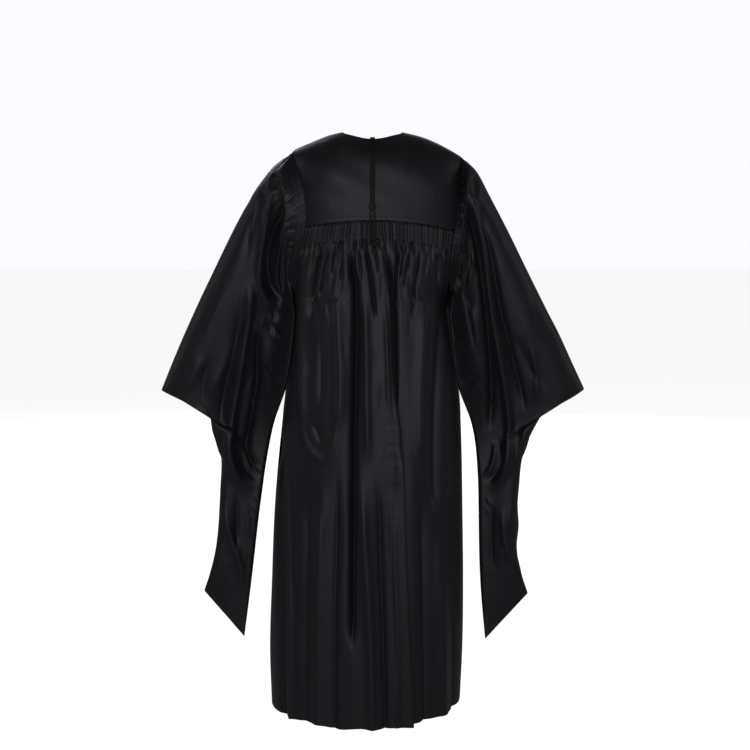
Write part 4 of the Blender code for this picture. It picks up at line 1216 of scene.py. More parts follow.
@dataclass
class BodyPanels:
    """The back and front panels, gathered into the yoke.

    Attributes:
        form: The smooth form.
        sizes: The panels' sizes.
        finish: The cloth's material.
        sewing: Where their stitches go.
    """

    form: BodyForm
    sizes: PanelSizes
    finish: Material
    sewing: Stitching

    back_lines = Table(
        ("height", "seam", "pleat edge"),
        (
            (-0.183, -0.018, -0.040),
            (-0.300, -0.027, -0.050),
            (-0.590, -0.040, -0.057),
            (-0.950, -0.042, -0.068),
            (-1.290, -0.056, -0.084),
        ),
    )
    back_flutes = {
        Side.LEFT: Flutes(26, 0.0017, 0.046, 13, 0.0062, 0.095, 0.0042, 11),
        Side.RIGHT: Flutes(22, 0.0017, 0.046, 11, 0.0062, 0.095, 0.0042, 23),
    }
    cuts = {
        "back_panel_left": Cut((0.480, 1.150), 0.430),
        "back_panel_right": Cut((0.380, 1.150), 0.325),
        "front_panel_left": Cut((0.400, 1.230), 0.355),
        "front_panel_right": Cut((0.400, 1.230), 0.345),
    }
    front_flutes = {
        Side.LEFT: Flutes(19, 0.0016, 0.034, 11, 0.0045, 0.080, 0.0025, 31),
        Side.RIGHT: Flutes(21, 0.0016, 0.034, 12, 0.0045, 0.080, 0.0025, 43),
    }

    def lap(self, points: Array, normals: Array) -> Array:
        """Lays the loose pleat of the back over: how far it moves each point.

        Across the pleat's line the cloth is drawn over itself and stands out on one side, both by the
        same odd wave, so that it runs back under its own edge.

        Args:
            points: Points of the back, on the smooth form.
            normals: Its outward normals.

        Returns:
            The move of each point.
        """
        line = self.back_lines.at("pleat edge", points[..., 2])
        across = (line - points[..., 0]) / self.sizes.fold_width
        wave = across * np.exp(-(across**2) / 2)
        amount = ease(-self.sizes.fold_start, -self.sizes.fold_full, -points[..., 2])
        tangent = unit(np.cross(normals, np.array([0.0, 0.0, 1.0])))
        tangent *= np.sign(-tangent[..., :1])
        over = -self.sizes.fold_lap * wave * amount
        out = -self.sizes.fold_depth * wave * (0.35 + 0.65 * amount) * ease(0.40, 0.62, -points[..., 2])
        return tangent * over[..., None] + normals * out[..., None]

    def hem_rise(self, points: Array) -> Array:
        """How far the hanging cloth rises unevenly towards the hem, more on the wearer's right."""
        low = ease(0.9, 1.28, -points[..., 2])
        right = ease(0.07, 0.12, -points[..., 0]) * ease(0.7, 1.29, -points[..., 2])
        return 0.0022 * wander(points[..., 0], 7, 0.16) * low + 0.008 * right

    def back(self, side: Side) -> Object:
        """Makes half of the back, from the side seam to the centre back seam.

        Args:
            side: The wearer's left or right.

        Returns:
            The panel's object.
        """
        sizes, form = self.sizes, self.form
        rows = graded(290, (-sizes.under_yoke, 0.10, 0.30, -HEM + form.arch_middle), (2.6, 2.2, 1.0, 0.8))
        dense = (1.0, 1.0, 2.8, 2.0) if side is Side.RIGHT else (1.0, 1.0, 1.0, 1.0)
        shares = graded(236, (0.0, 0.70, 0.88, 1.0), dense)
        levels = form.arch_middle - SEAM_GAP - rows
        arch = 1 - ease(0.055, 0.110, rows)
        corner = form.yoke_corner(side) - form.arch_middle
        first = form.edge_angle(side, Face.BACK, levels + arch * corner)
        first = first - side.value * sizes.side_lap * (levels < UNDERARM)
        seam = self.back_lines.at("seam", levels)
        under = sizes.allowance if side is Side.LEFT else 0.0
        last = form.angle_at(seam - under, levels, Face.BACK)
        angles = form.spread(first, last, levels, shares)
        heights = levels[:, None] + arch[:, None] * (
            form.yoke_edge(form.point(angles, levels[:, None])[..., 0]) - form.arch_middle
        )
        base = form.point(angles, heights)
        normals = grid_normals(base, np.array([0.0, 1.0, 0.0]))
        drop = np.broadcast_to(rows[:, None], angles.shape)
        share = np.broadcast_to(shares, angles.shape)
        flutes = self.back_flutes[side]
        shift = flutes.shift(share, drop)
        shift += creased(BACK_CREASES, base[..., 0], base[..., 2]) * ease(0.036, 0.056, drop)
        shift -= sizes.under_depth * (1 - ease(-0.004, 0.010, drop))
        from_seam = np.abs(base[..., 0] - seam[:, None])
        ripple = np.sin(2 * math.pi * (base[..., 2] / 0.019 + 0.5 * wander(base[..., 2], 5, 0.09)))
        ripple = ripple * (0.55 + 0.45 * wander(base[..., 2], 6, 0.14))
        where = ease(0.30, 0.50, -base[..., 2]) * (1 - 0.75 * ease(0.70, 0.90, -base[..., 2]))
        shift += sizes.pucker * ripple * where * bell(from_seam - 0.004, 0.006)
        shift -= 0.0012 * bell(from_seam, 0.0028)
        shift -= sizes.side_depth * (1 - ease(0.004, 0.009, share)) * (base[..., 2] < UNDERARM)
        shift -= under * 0.5 * ease(-0.0002, 0.0012, seam[:, None] - base[..., 0])
        points = base + normals * shift[..., None] + self.lap(base, normals)
        points[..., 2] += self.hem_rise(base)
        return self.finished(f"back_panel_{side.word}", points, np.array([0.0, 1.0, 0.0]), rows)

    def front_opening(self, height: Array) -> Array:
        """How far the front's inner edge lies from the middle: the V neck, the zip, and its seam."""
        neck = np.interp(height, (NECK_POINT_FRONT, 0), (ZIP_HALF_GAP, NECK_HALF_WIDTH))
        below = np.interp(height, (ZIP_BOTTOM - 0.012, ZIP_BOTTOM), (SEAM_GAP / 2, ZIP_HALF_GAP))
        return np.where(height > ZIP_BOTTOM, neck, below)

    def front(self, side: Side) -> Object:
        """Makes half of the front, from the side seam to the zip.

        Args:
            side: The wearer's left or right.

        Returns:
            The panel's object.
        """
        form = self.form
        top = float(form.height_of_turn(FRONT_YOKE_TURN)) - SEAM_GAP
        rows = graded(240, (0.0, 0.09, 0.30, top - HEM), (2.4, 2.0, 1.0, 0.8))
        shares = np.linspace(0, 1, 168)
        levels = top - rows
        first = form.edge_angle(side, Face.FRONT, levels)
        closed = ease(0.0, 0.004, ZIP_BOTTOM - 0.012 - levels) * (side is Side.LEFT)
        inner_edge = side.value * self.front_opening(levels) - self.sizes.allowance * closed
        last = form.angle_at(inner_edge, levels, Face.FRONT)
        angles = form.spread(first, last, levels, shares)
        base = form.point(angles, levels[:, None])
        normals = grid_normals(base, np.array([0.0, -1.0, 0.0]))
        drop = np.broadcast_to(rows[:, None], angles.shape)
        share = np.broadcast_to(shares, angles.shape)
        shift = self.front_flutes[side].shift(share, drop)
        shift += creased(FRONT_CREASES, base[..., 0], base[..., 2]) * ease(0.03, 0.06, drop)
        inner = np.abs(base[..., 0]) - self.front_opening(base[..., 2])
        shift -= 0.0008 * bell(inner - self.sizes.zip_line, 0.0016)
        shift -= 0.0015 * closed[:, None] * ease(-0.0002, 0.0012, -base[..., 0])
        points = base + normals * shift[..., None]
        points[..., 2] += self.hem_rise(base)
        zipped = levels > ZIP_BOTTOM
        self.sewing.trace(points[zipped], normals[zipped], inner[zipped], self.sizes.zip_line)
        return self.finished(f"front_panel_{side.word}", points, np.array([0.0, -1.0, 0.0]), rows)

    def finished(self, name: str, points: Array, towards: Array, rows: Array) -> Object:
        """Adds the turned hem and the line of its stitches, and makes the panel.

        Args:
            name: The CAD node that it stands for.
            points: Its points, the hem's edge last.
            towards: A direction out of the cloth.
            rows: Each row's distance from the seam.

        Returns:
            The panel's object.
        """
        left = rows[-1] - rows
        line = 0.0005 * bell(left - self.sizes.hem_turn, 0.0022)[:, None, None]
        whole = laid_out(points - grid_normals(points, towards) * line, towards)
        hem = left < self.sizes.hem_turn
        down = whole.points.swapaxes(0, 1), whole.normals.swapaxes(0, 1), left + 0 * points[..., 0].T
        self.sewing.trace(*down, self.sizes.hem_turn)
        turned = whole.part(hem)
        distance = np.broadcast_to(left[hem][:, None], turned.points.shape[:2])
        turned = turned.turned_in(distance, self.sizes.hem_depth)
        made = Piece(f"satin_{name}", self.finish, "satin", patches=[whole, turned]).build(name)
        yoke = "satin_back_yoke" if "back" in name else f"satin_front_yoke_{name.split('_')[-1]}"
        return made


@dataclass
class Yoke:
    """The smooth yoke: one piece over the back, and a short one over the front of each shoulder.

    Attributes:
        form: The smooth form.
        finish: The cloth's material.
        sewing: Where its stitches go.
        edge_depth: How far its turned edges lie below it.
        lift: How far it lies off the form.
        split: Height between the rows that follow the arched edge and those over the shoulder.
        neck_blend: Share of the neck's half width from which its line turns into the shoulder seam.
        seam_turn: Half the shoulder seam's gap, in degrees over the shoulder.
        outside: Columns on each side of the neckline.
        edge_rows: Rows of the turned lower edge.
        neck_rows: Rows of the neck's facing.
        edge_line: Distance of the stitches from the lower edge.
        neck_line: Distance of the stitches from the neckline.
        back_cut: The back yoke's flat cut.
        front_cut: The flat cut of each front yoke.
    """

    form: BodyForm
    finish: Material
    sewing: Stitching
    edge_depth: float = 0.0014
    lift: float = 0.0012
    split: float = -0.165
    neck_blend: float = 0.80
    seam_turn: float = 0.17
    outside: int = 34
    edge_rows: int = 12
    neck_rows: int = 10
    edge_line: float = 0.0085
    neck_line: float = 0.007
    back_cut: Cut = Cut((0.420, 0.290), 0.098)
    front_cut: Cut = Cut((0.160, 0.110), 0.0125)

    def armhole_x(self, side: Side, turn: Array) -> Array:
        """How far the armhole's edge lies from the middle, at angles over the shoulder."""
        height = self.form.height_of_turn(turn)
        edge = [self.form.edge_angle(side, face, height) for face in (Face.BACK, Face.FRONT)]
        return self.form.point(np.where(np.asarray(turn) <= 90, *edge), height)[..., 0]

    def neck_turn(self, x: Array | float) -> Array:
        """Angle over the shoulder at which the back neckline, half an ellipse, crosses x.

        Args:
            x: Distance from the middle.

        Returns:
            The angle, in degrees.
        """
        x = np.asarray(x, float)
        across = NECK_DEPTH_BACK * np.sqrt(np.maximum(1 - (x / NECK_HALF_WIDTH) ** 2, 0))
        depth = self.form.over_shoulder(x, 0.0)[..., 1]
        turn = np.degrees(np.arccos((across / depth) ** (SHOULDER_POWER / 2)))
        corner = ease(self.neck_blend, 1.0, np.abs(x) / NECK_HALF_WIDTH)
        return turn + (SHOULDER_SEAM_TURN - self.seam_turn - turn) * corner

    def back(self) -> Object:
        """Makes the back yoke, from its arched lower edge to the neckline and the shoulder seams.

        Returns:
            The yoke's object.
        """
        form = self.form
        seam = SHOULDER_SEAM_TURN - self.seam_turn
        neck = np.linspace(NECK_HALF_WIDTH, -NECK_HALF_WIDTH, 97)[1:-1]
        outside = np.linspace(1, 0, self.outside)
        shoulder = np.full(len(outside), seam)
        top = np.concatenate([shoulder, self.neck_turn(neck), shoulder])
        low_turn = float(form.turn_of_height(self.split))
        low_rows, high_rows = np.linspace(0, 1, 22), np.linspace(0, 1, 90)[1:]
        corners = [form.yoke_corner(side) for side in Side]
        grid = []
        for share in low_rows:
            ends = [corner + (self.split - corner) * share for corner in corners]
            places = [form.edge_angle(side, Face.BACK, end) for side, end in zip(Side, ends)]
            reach = [float(form.point(place, end)[0]) for place, end in zip(places, ends)]
            xs = self.across(reach, outside, neck)
            heights = form.yoke_edge(xs) + (self.split - form.yoke_edge(xs)) * share
            grid.append(form.point(form.angle_at(xs, heights, Face.BACK), heights))
        for share in high_rows:
            turns = low_turn + (top - low_turn) * share
            reach = [float(self.armhole_x(side, turns[0])) for side in Side]
            xs = self.across(reach, outside, neck)
            grid.append(form.over_shoulder(xs, turns))
        base = np.array(grid)
        towards = base - np.array([0.0, 0.0, -0.25])
        normals = grid_normals(base, towards)
        flat = measured(base)
        from_edge = flat[0, 0, 1] - flat[..., 1]
        shift = self.lift + 0.0007 * bell(from_edge, 0.007)
        shift -= 0.0003 * bell(from_edge - self.edge_line, 0.0014)
        x, z = base[..., 0], base[..., 2]
        shift += 0.0008 * wander(x + 0.3 * z, 61, 0.22) * wander(z, 63, 0.20) * ease(0.01, 0.05, from_edge)
        shift += 0.0005 * wander(z - 0.5 * x, 62, 0.15) * ease(0.01, 0.05, from_edge)
        points = base + normals * shift[..., None]
        normals = grid_normals(points, towards)
        whole = Patch(points, normals, flat)
        near = slice(0, self.edge_rows)
        turned = whole.part(near).turned_in(from_edge[near], self.edge_depth)
        columns = slice(self.outside, -self.outside)
        from_top = np.linalg.norm(points - points[-1:], axis=-1)[:, columns]
        ring = slice(len(base) - self.neck_rows, len(base))
        facing = whole.part(ring, columns).turned_in(from_top[ring], self.edge_depth)
        row = int(np.argmin(np.abs(from_edge[:, 0] - self.edge_line)))
        self.sewing.add(points[row], normals[row])
        down = (grid[:, columns].swapaxes(0, 1) for grid in (points, normals))
        self.sewing.trace(*down, from_top.T, self.neck_line)
        piece = Piece("satin_back_yoke", self.finish, "satin", patches=[whole, turned, facing])
        made = piece.build("back_yoke")
        return made

    def across(self, reach: Sequence[float], outside: Array, neck: Array) -> Array:
        """Where a row's columns lie, from the left armhole over the neck to the right one.

        Args:
            reach: The x of the left and of the right armhole.
            outside: Shares of the way from the neck to an armhole, from 1 to 0.
            neck: The x of the columns under the neckline.

        Returns:
            The x of each column.
        """
        left = NECK_HALF_WIDTH + (reach[0] - NECK_HALF_WIDTH) * outside
        right = -NECK_HALF_WIDTH + (reach[1] + NECK_HALF_WIDTH) * outside[::-1]
        return np.concatenate([left, neck, right])

    def front(self, side: Side) -> Object:
        """Makes the short front end of the yoke, from the shoulder seam to the gathers.

        Args:
            side: The wearer's left or right.

        Returns:
            The front yoke's object.
        """
        form = self.form
        turns = np.linspace(SHOULDER_SEAM_TURN + self.seam_turn, FRONT_YOKE_TURN, 46)
        heights = form.height_of_turn(turns)
        inner = np.interp(heights, (NECK_POINT_FRONT, 0), (ZIP_HALF_GAP, NECK_HALF_WIDTH)) * side.value
        outer = self.armhole_x(side, turns)
        xs = outer[:, None] + (inner - outer)[:, None] * np.linspace(0, 1, 60)
        base = form.over_shoulder(xs, turns[:, None])
        towards = base - np.array([0.0, 0.0, -0.25])
        normals = grid_normals(base, towards)
        shift = self.lift + 0.0007 * wander(base[..., 0], 64, 0.09)
        points = base + normals * shift[..., None]
        whole = laid_out(points, towards)
        lower = np.linalg.norm(points - points[-1:], axis=-1)
        ends = slice(len(turns) - 8, len(turns))
        turned = whole.part(ends).turned_in(lower[ends], self.edge_depth)
        name = f"front_yoke_{side.word}"
        made = Piece(f"satin_{name}", self.finish, "satin", patches=[whole, turned]).build(name)
        return made


SLEEVE_COLUMNS = (
    "row", "outer x", "outer z", "inner x", "inner z", "depth", "inner depth", "mouth", "middle"
)


@dataclass
class Sleeve:
    """A long closed sleeve: a fluted head, an arm, an open cuff at the wrist and a hanging tail.

    Attributes:
        form: The form that the armhole is on.
        side: The wearer's left or right.
        finish: The cloth's material.
        sewing: Where its stitches go.
        head_rows: Rows from the armhole to the first section.
        body_rows: Rows along the sections.
        half_columns: Columns on each face.
        corner: The section at the cuff's outer corner.
        mouth: The sections between which the cuff is open.
        arm_most: The most of a section's length that its round outer end takes.
        arm_end: Share of the length at which the depth has narrowed.
        tip_ratio: Length of the round inner end over its depth.
        tip_most: The most of a section's length that it takes.
        plain_underarm: Shares of a face over which the flutes set in, from the underarm.
        lap_across: How far the inner edge laps over the body's side.
        lap_back: How far back it lies there.
        lap_starts: The sections at which the two are full.
        lap_end: The sections between which they fade out.
        lap_share: Share of a section's length from which they grow.
        softening: Passes that even out the turn from the arm to the tail.
        hem_turn: Width of the cuff's hem.
        hem_depth: Thickness of its turned layer.
        cuff_columns: Columns of that layer.
        cut: The flat cut, back and front together.
    """

    form: BodyForm
    side: Side
    finish: Material
    sewing: Stitching
    head_rows: int = 26
    body_rows: int = 150
    half_columns: int = 236
    corner: int = 7
    mouth: tuple[float, float] = (7.0, 11.0)
    arm_most: float = 0.45
    arm_end: float = 0.92
    tip_ratio: float = 1.2
    tip_most: float = 0.12
    plain_underarm: tuple[float, float] = (0.14, 0.30)
    lap_across: float = 0.0105
    lap_back: float = 0.056
    lap_starts: tuple[float, float] = (0.5, 1.3)
    lap_end: tuple[float, float] = (3.9, 6.2)
    lap_share: float = 0.74
    softening: int = 60
    hem_turn: float = 0.016
    hem_depth: float = 0.0012
    cuff_columns: int = 27
    cut: Cut = Cut((0.640, 1.180), 0.450)

    sections = {
        Side.LEFT: Table(
            SLEEVE_COLUMNS,
            (
                (0, 0.196, -0.058, 0.1795, -0.362, 0.088, 0.040, 0.000, 0.000),
                (1, 0.224, -0.081, 0.1790, -0.388, 0.074, 0.022, 0.000, 0.001),
                (2, 0.262, -0.131, 0.1820, -0.434, 0.066, 0.014, 0.000, 0.002),
                (3, 0.305, -0.208, 0.1880, -0.488, 0.060, 0.012, 0.000, 0.002),
                (4, 0.350, -0.298, 0.1950, -0.542, 0.056, 0.011, 0.000, 0.000),
                (5, 0.395, -0.390, 0.2080, -0.592, 0.052, 0.010, 0.000, -0.003),
                (6, 0.436, -0.480, 0.2215, -0.636, 0.048, 0.010, 0.000, -0.006),
                (7, 0.473, -0.568, 0.2320, -0.692, 0.044, 0.010, 0.000, -0.008),
                (8, 0.424, -0.584, 0.2370, -0.717, 0.042, 0.010, 0.034, -0.008),
                (9, 0.377, -0.601, 0.2410, -0.741, 0.038, 0.010, 0.036, -0.006),
                (10, 0.356, -0.650, 0.2450, -0.766, 0.032, 0.010, 0.024, -0.004),
                (11, 0.341, -0.718, 0.2480, -0.792, 0.024, 0.010, 0.000, 0.000),
                (12, 0.344, -0.795, 0.2550, -0.838, 0.021, 0.010, 0.000, 0.003),
                (13, 0.348, -0.865, 0.2620, -0.896, 0.020, 0.010, 0.000, 0.005),
                (14, 0.356, -0.932, 0.2700, -0.964, 0.019, 0.010, 0.000, 0.006),
                (15, 0.369, -0.986, 0.2800, -1.044, 0.015, 0.009, 0.000, 0.007),
                (16, 0.383, -1.029, 0.2930, -1.137, 0.0022, 0.0022, 0.000, 0.008),
            ),
        ),
        Side.RIGHT: Table(
            SLEEVE_COLUMNS,
            (
                (0, 0.210, -0.064, 0.1765, -0.364, 0.080, 0.038, 0.000, 0.000),
                (1, 0.234, -0.094, 0.1772, -0.392, 0.072, 0.022, 0.000, 0.001),
                (2, 0.266, -0.152, 0.1807, -0.436, 0.066, 0.014, 0.000, 0.002),
                (3, 0.303, -0.222, 0.1860, -0.488, 0.062, 0.012, 0.000, 0.002),
                (4, 0.346, -0.308, 0.1930, -0.542, 0.059, 0.011, 0.000, 0.000),
                (5, 0.390, -0.394, 0.2075, -0.592, 0.056, 0.010, 0.000, -0.003),
                (6, 0.433, -0.480, 0.2225, -0.636, 0.052, 0.010, 0.000, -0.006),
                (7, 0.474, -0.566, 0.2320, -0.694, 0.047, 0.010, 0.000, -0.008),
                (8, 0.436, -0.584, 0.2340, -0.717, 0.044, 0.010, 0.034, -0.008),
                (9, 0.393, -0.601, 0.2360, -0.741, 0.041, 0.010, 0.036, -0.006),
                (10, 0.362, -0.650, 0.2375, -0.766, 0.036, 0.011, 0.024, -0.004),
                (11, 0.338, -0.718, 0.2385, -0.792, 0.029, 0.012, 0.000, 0.000),
                (12, 0.330, -0.795, 0.2395, -0.840, 0.026, 0.012, 0.000, 0.003),
                (13, 0.326, -0.870, 0.2405, -0.900, 0.025, 0.012, 0.000, 0.005),
                (14, 0.328, -0.940, 0.2420, -0.966, 0.022, 0.012, 0.000, 0.006),
                (15, 0.339, -0.992, 0.2470, -1.050, 0.015, 0.009, 0.000, 0.007),
                (16, 0.353, -1.035, 0.2570, -1.143, 0.0022, 0.0022, 0.000, 0.008),
            ),
        ),
    }
    flutes = {
        Side.LEFT: Flutes(112, 0.0015, 0.026, 40, 0.0042, 0.070, 0.0020, 71),
        Side.RIGHT: Flutes(112, 0.0015, 0.022, 40, 0.0042, 0.070, 0.0015, 83),
    }

    def armhole(self, around: Array) -> Array:
        """Points of the armhole's edge, of a left sleeve.

        The edge runs from the shoulder seam down the back to the underarm, at 1, and up the front to
        the shoulder seam, at 2, at an even pace on each face.

        Args:
            around: Places round the edge, from 0 to 2.

        Returns:
            The points, mirrored for the right sleeve.
        """
        over = np.linspace(SHOULDER_SEAM_TURN, 0, 120)
        down = np.linspace(YOKE_BASE, UNDERARM + 1e-4, 120)[1:]
        low = 1e-4
        backs = [self.edge_at(Face.BACK, self.form.height_of_turn(over[over <= 90]))]
        backs.append(self.edge_at(Face.BACK, down))
        start = self.edge_at(Face.FRONT, self.form.height_of_turn(over[over > 90]))
        ahead = np.linspace(180, SHOULDER_SEAM_TURN, 120)
        fronts = [self.edge_at(Face.FRONT, down[::-1])]
        fronts.append(self.edge_at(Face.FRONT, self.form.height_of_turn(ahead)))
        halves = np.concatenate([start, *backs]), np.concatenate(fronts)
        found = []
        for half, first in zip(halves, (0.0, 1.0)):
            keep = np.concatenate([[True], np.linalg.norm(np.diff(half, axis=0), axis=1) > low])
            half = half[keep]
            length = travelled(half, 0)
            place = first + length / length[-1]
            found.append((place, half))
        place = np.concatenate([found[0][0], found[1][0][1:]])
        edge = np.concatenate([found[0][1], found[1][1][1:]])
        return np.stack([np.interp(around, place, edge[:, k]) for k in range(3)], axis=-1)

    @property
    def mirror(self) -> Array:
        """What turns a left sleeve's points into this one's, by multiplication."""
        return np.array([self.side.value, 1.0, 1.0])

    def edge_at(self, face: Face, heights: Array) -> Array:
        """Points of the armhole's edge at these heights, as on a left sleeve."""
        points = self.form.point(self.form.edge_angle(self.side, face, heights), heights)
        return points * self.mirror

    def section(self, row: Array, around: Array) -> Array:
        """Points round the sleeve's sections.

        A section runs from its outer to its inner end in the plane of the arms, down the back and up
        the front. It is round at both ends, and the depth narrows towards the inner one.

        Args:
            row: Places down the table of sections.
            around: Places round a section, from 0 to 2.

        Returns:
            The points, of a left sleeve.
        """
        rows = self.sections[self.side].rows
        arm = Table(SLEEVE_COLUMNS, rows[: self.corner + 1])
        tail = Table(SLEEVE_COLUMNS, rows[self.corner :])
        outer_x, outer_z, inner_x, inner_z, depth, inner_depth, mouth, middle = (
            np.where(row <= self.corner, arm.at(name, row), tail.at(name, row))
            for name in SLEEVE_COLUMNS[1:]
        )
        mouth = np.maximum(mouth, 0) * ((row > self.mouth[0]) & (row < self.mouth[1]))
        back = np.where(around < 1, 1.0, -1.0)
        share = np.where(around < 1, around, 2 - around)
        length = np.hypot(outer_x - inner_x, outer_z - inner_z)
        bend = np.minimum(depth / length, self.arm_most)
        tip = np.minimum(self.tip_ratio * inner_depth / length, self.tip_most)
        round_outer = np.sqrt(1 - (1 - np.clip(share / bend, 0, 1)) ** 2)
        round_inner = np.sqrt(1 - np.clip((share - 1 + tip) / tip, 0, 1) ** 2)
        narrowing = np.clip((share - bend) / (self.arm_end - bend), 0, 1)
        narrowing = 1 - narrowing * narrowing * (3 - 2 * narrowing)
        narrow = inner_depth + (depth - inner_depth) * narrowing
        out = np.where(share > bend, narrow, mouth + (depth - mouth) * round_outer)
        fading = (1 - ease(*self.lap_end, row)) * ease(self.lap_share, 1.0, share)
        across, behind = (ease(0.0, end, row) * fading for end in self.lap_starts)
        x = outer_x + (inner_x - outer_x) * share - self.lap_across * across
        z = outer_z + (inner_z - outer_z) * share
        return np.stack([x, middle + back * out * round_inner + self.lap_back * behind, z], axis=-1)

    def soften(self, base: Array, around: Array) -> None:
        """Evens out the rows away from the outer edge, where they turn from the arm to the tail.

        Args:
            base: The sleeve's points, changed in place.
            around: Places round a section, from 0 to 2.
        """
        share = np.minimum(around, 2 - around)
        down = (ease(0.0, 0.12, share) * 0.5)[None, :, None]
        across = (ease(0.01, 0.06, share) * (1 - ease(0.80, 0.92, share)) * 0.5)[None, 1:-1]
        part = base[self.head_rows + 20 :]
        depth = part[..., 1]
        for _ in range(self.softening):
            part[1:-1] += down * ((part[:-2] + part[2:]) / 2 - part[1:-1])
            depth[:, 1:-1] += across * ((depth[:, :-2] + depth[:, 2:]) / 2 - depth[:, 1:-1])

    def build(self) -> Object:
        """Makes the sleeve, with its cuff's turned edge.

        Returns:
            The sleeve's object.
        """
        half = graded(self.half_columns, (0.0, 0.06, 0.94, 1.0), (1.7, 1.0, 1.0, 1.6))
        around = np.concatenate([half, 2 - half[-2::-1]])
        edge = self.armhole(around)
        blend = np.linspace(0, 1, self.head_rows, endpoint=False)[:, None, None]
        start = self.section(np.zeros((1, 1)), around[None])
        head = edge[None] + (start - edge[None]) * blend
        rows = graded(self.body_rows, (0.0, 3.0, 7.0, 7.02, 11.0, 16.0), (1.4, 1.0, 1.0, 1.2, 1.2, 1.0))
        rows = np.sort(np.concatenate([rows, [7.0, 7.012, 10.988, 11.0]]))
        base = np.concatenate([head, self.section(rows[:, None], around[None])])
        self.soften(base, around)
        joined = np.concatenate([np.ones(self.head_rows, bool), (rows <= 7.0) | (rows >= 11.0)])
        middle = base.mean(axis=1, keepdims=True)
        towards = base - middle
        normals = grid_normals(base, towards, joined)
        from_head = travelled(base, 0)
        from_head = np.minimum(from_head, from_head[self.head_rows + 40])
        plain = ease(*self.plain_underarm, np.abs(around - 1))
        shift = self.flutes[self.side].shift(np.broadcast_to(around / 2, from_head.shape), from_head) * plain
        own = LEFT_SLEEVE_CREASES, RIGHT_SLEEVE_CREASES
        for seen, creases in ((around < 1, own), (around > 1, own[::-1])):
            mine = creases[0] if self.side is Side.LEFT else creases[1]
            x, z = base[:, seen][..., 0], base[:, seen][..., 2]
            inside = 1 - ease(0.955, 0.995, np.minimum(around[seen], 2 - around[seen]))
            shift[:, seen] += creased(mine, x, z) * ease(0.018, 0.034, from_head[:, seen]) * inside
        shift *= 1 - ease(13.6, 16.0, np.concatenate([np.zeros(self.head_rows), rows]))[:, None] * 0.8
        points = base + normals * shift[..., None]
        points *= self.mirror
        towards = towards * self.mirror
        normals = grid_normals(points, towards, joined)
        flat = measured(points)
        whole = Patch(points, normals, flat, joined)
        patches = [whole] + [self.cuff(whole, ~joined, ends) for ends in (0, -1)]
        patches.append(self.closing(whole))
        word = self.side.word
        piece = Piece(f"satin_sleeve_{word}", self.finish, "satin", patches=patches)
        made = piece.build(f"sleeve_back_{word}", f"sleeve_front_{word}")
        return made

    def cuff(self, whole: Patch, opened: Array, end: int) -> Patch:
        """The turned edge inside the cuff.

        Args:
            whole: The sleeve's patch.
            opened: Which of its rows are open.
            end: 0 for the edge at the first column, -1 for the one at the last.

        Returns:
            The turned layer's patch.
        """
        columns = slice(0, self.cuff_columns) if end == 0 else slice(-self.cuff_columns, None)
        part = whole.part(opened, columns)
        edge = part.points[:, 0 if end == 0 else -1]
        distance = np.linalg.norm(part.points - edge[:, None], axis=-1)
        self.sewing.trace(part.points, part.normals, distance, self.hem_turn)
        return part.turned_in(distance, self.hem_depth)

    def closing(self, whole: Patch) -> Patch:
        """The narrow strip that joins the back and the front at the end of the tail.

        Args:
            whole: The sleeve's patch.

        Returns:
            The strip's patch.
        """
        last = whole.points[-1]
        count = len(last) // 2 + 1
        back, front = last[:count], last[::-1][:count]
        strip = np.stack([back, (back + front) / 2 - np.array([0, 0, 0.0006]), front])
        towards = np.array([0.0, 0.0, -1.0])
        return laid_out(strip, towards)


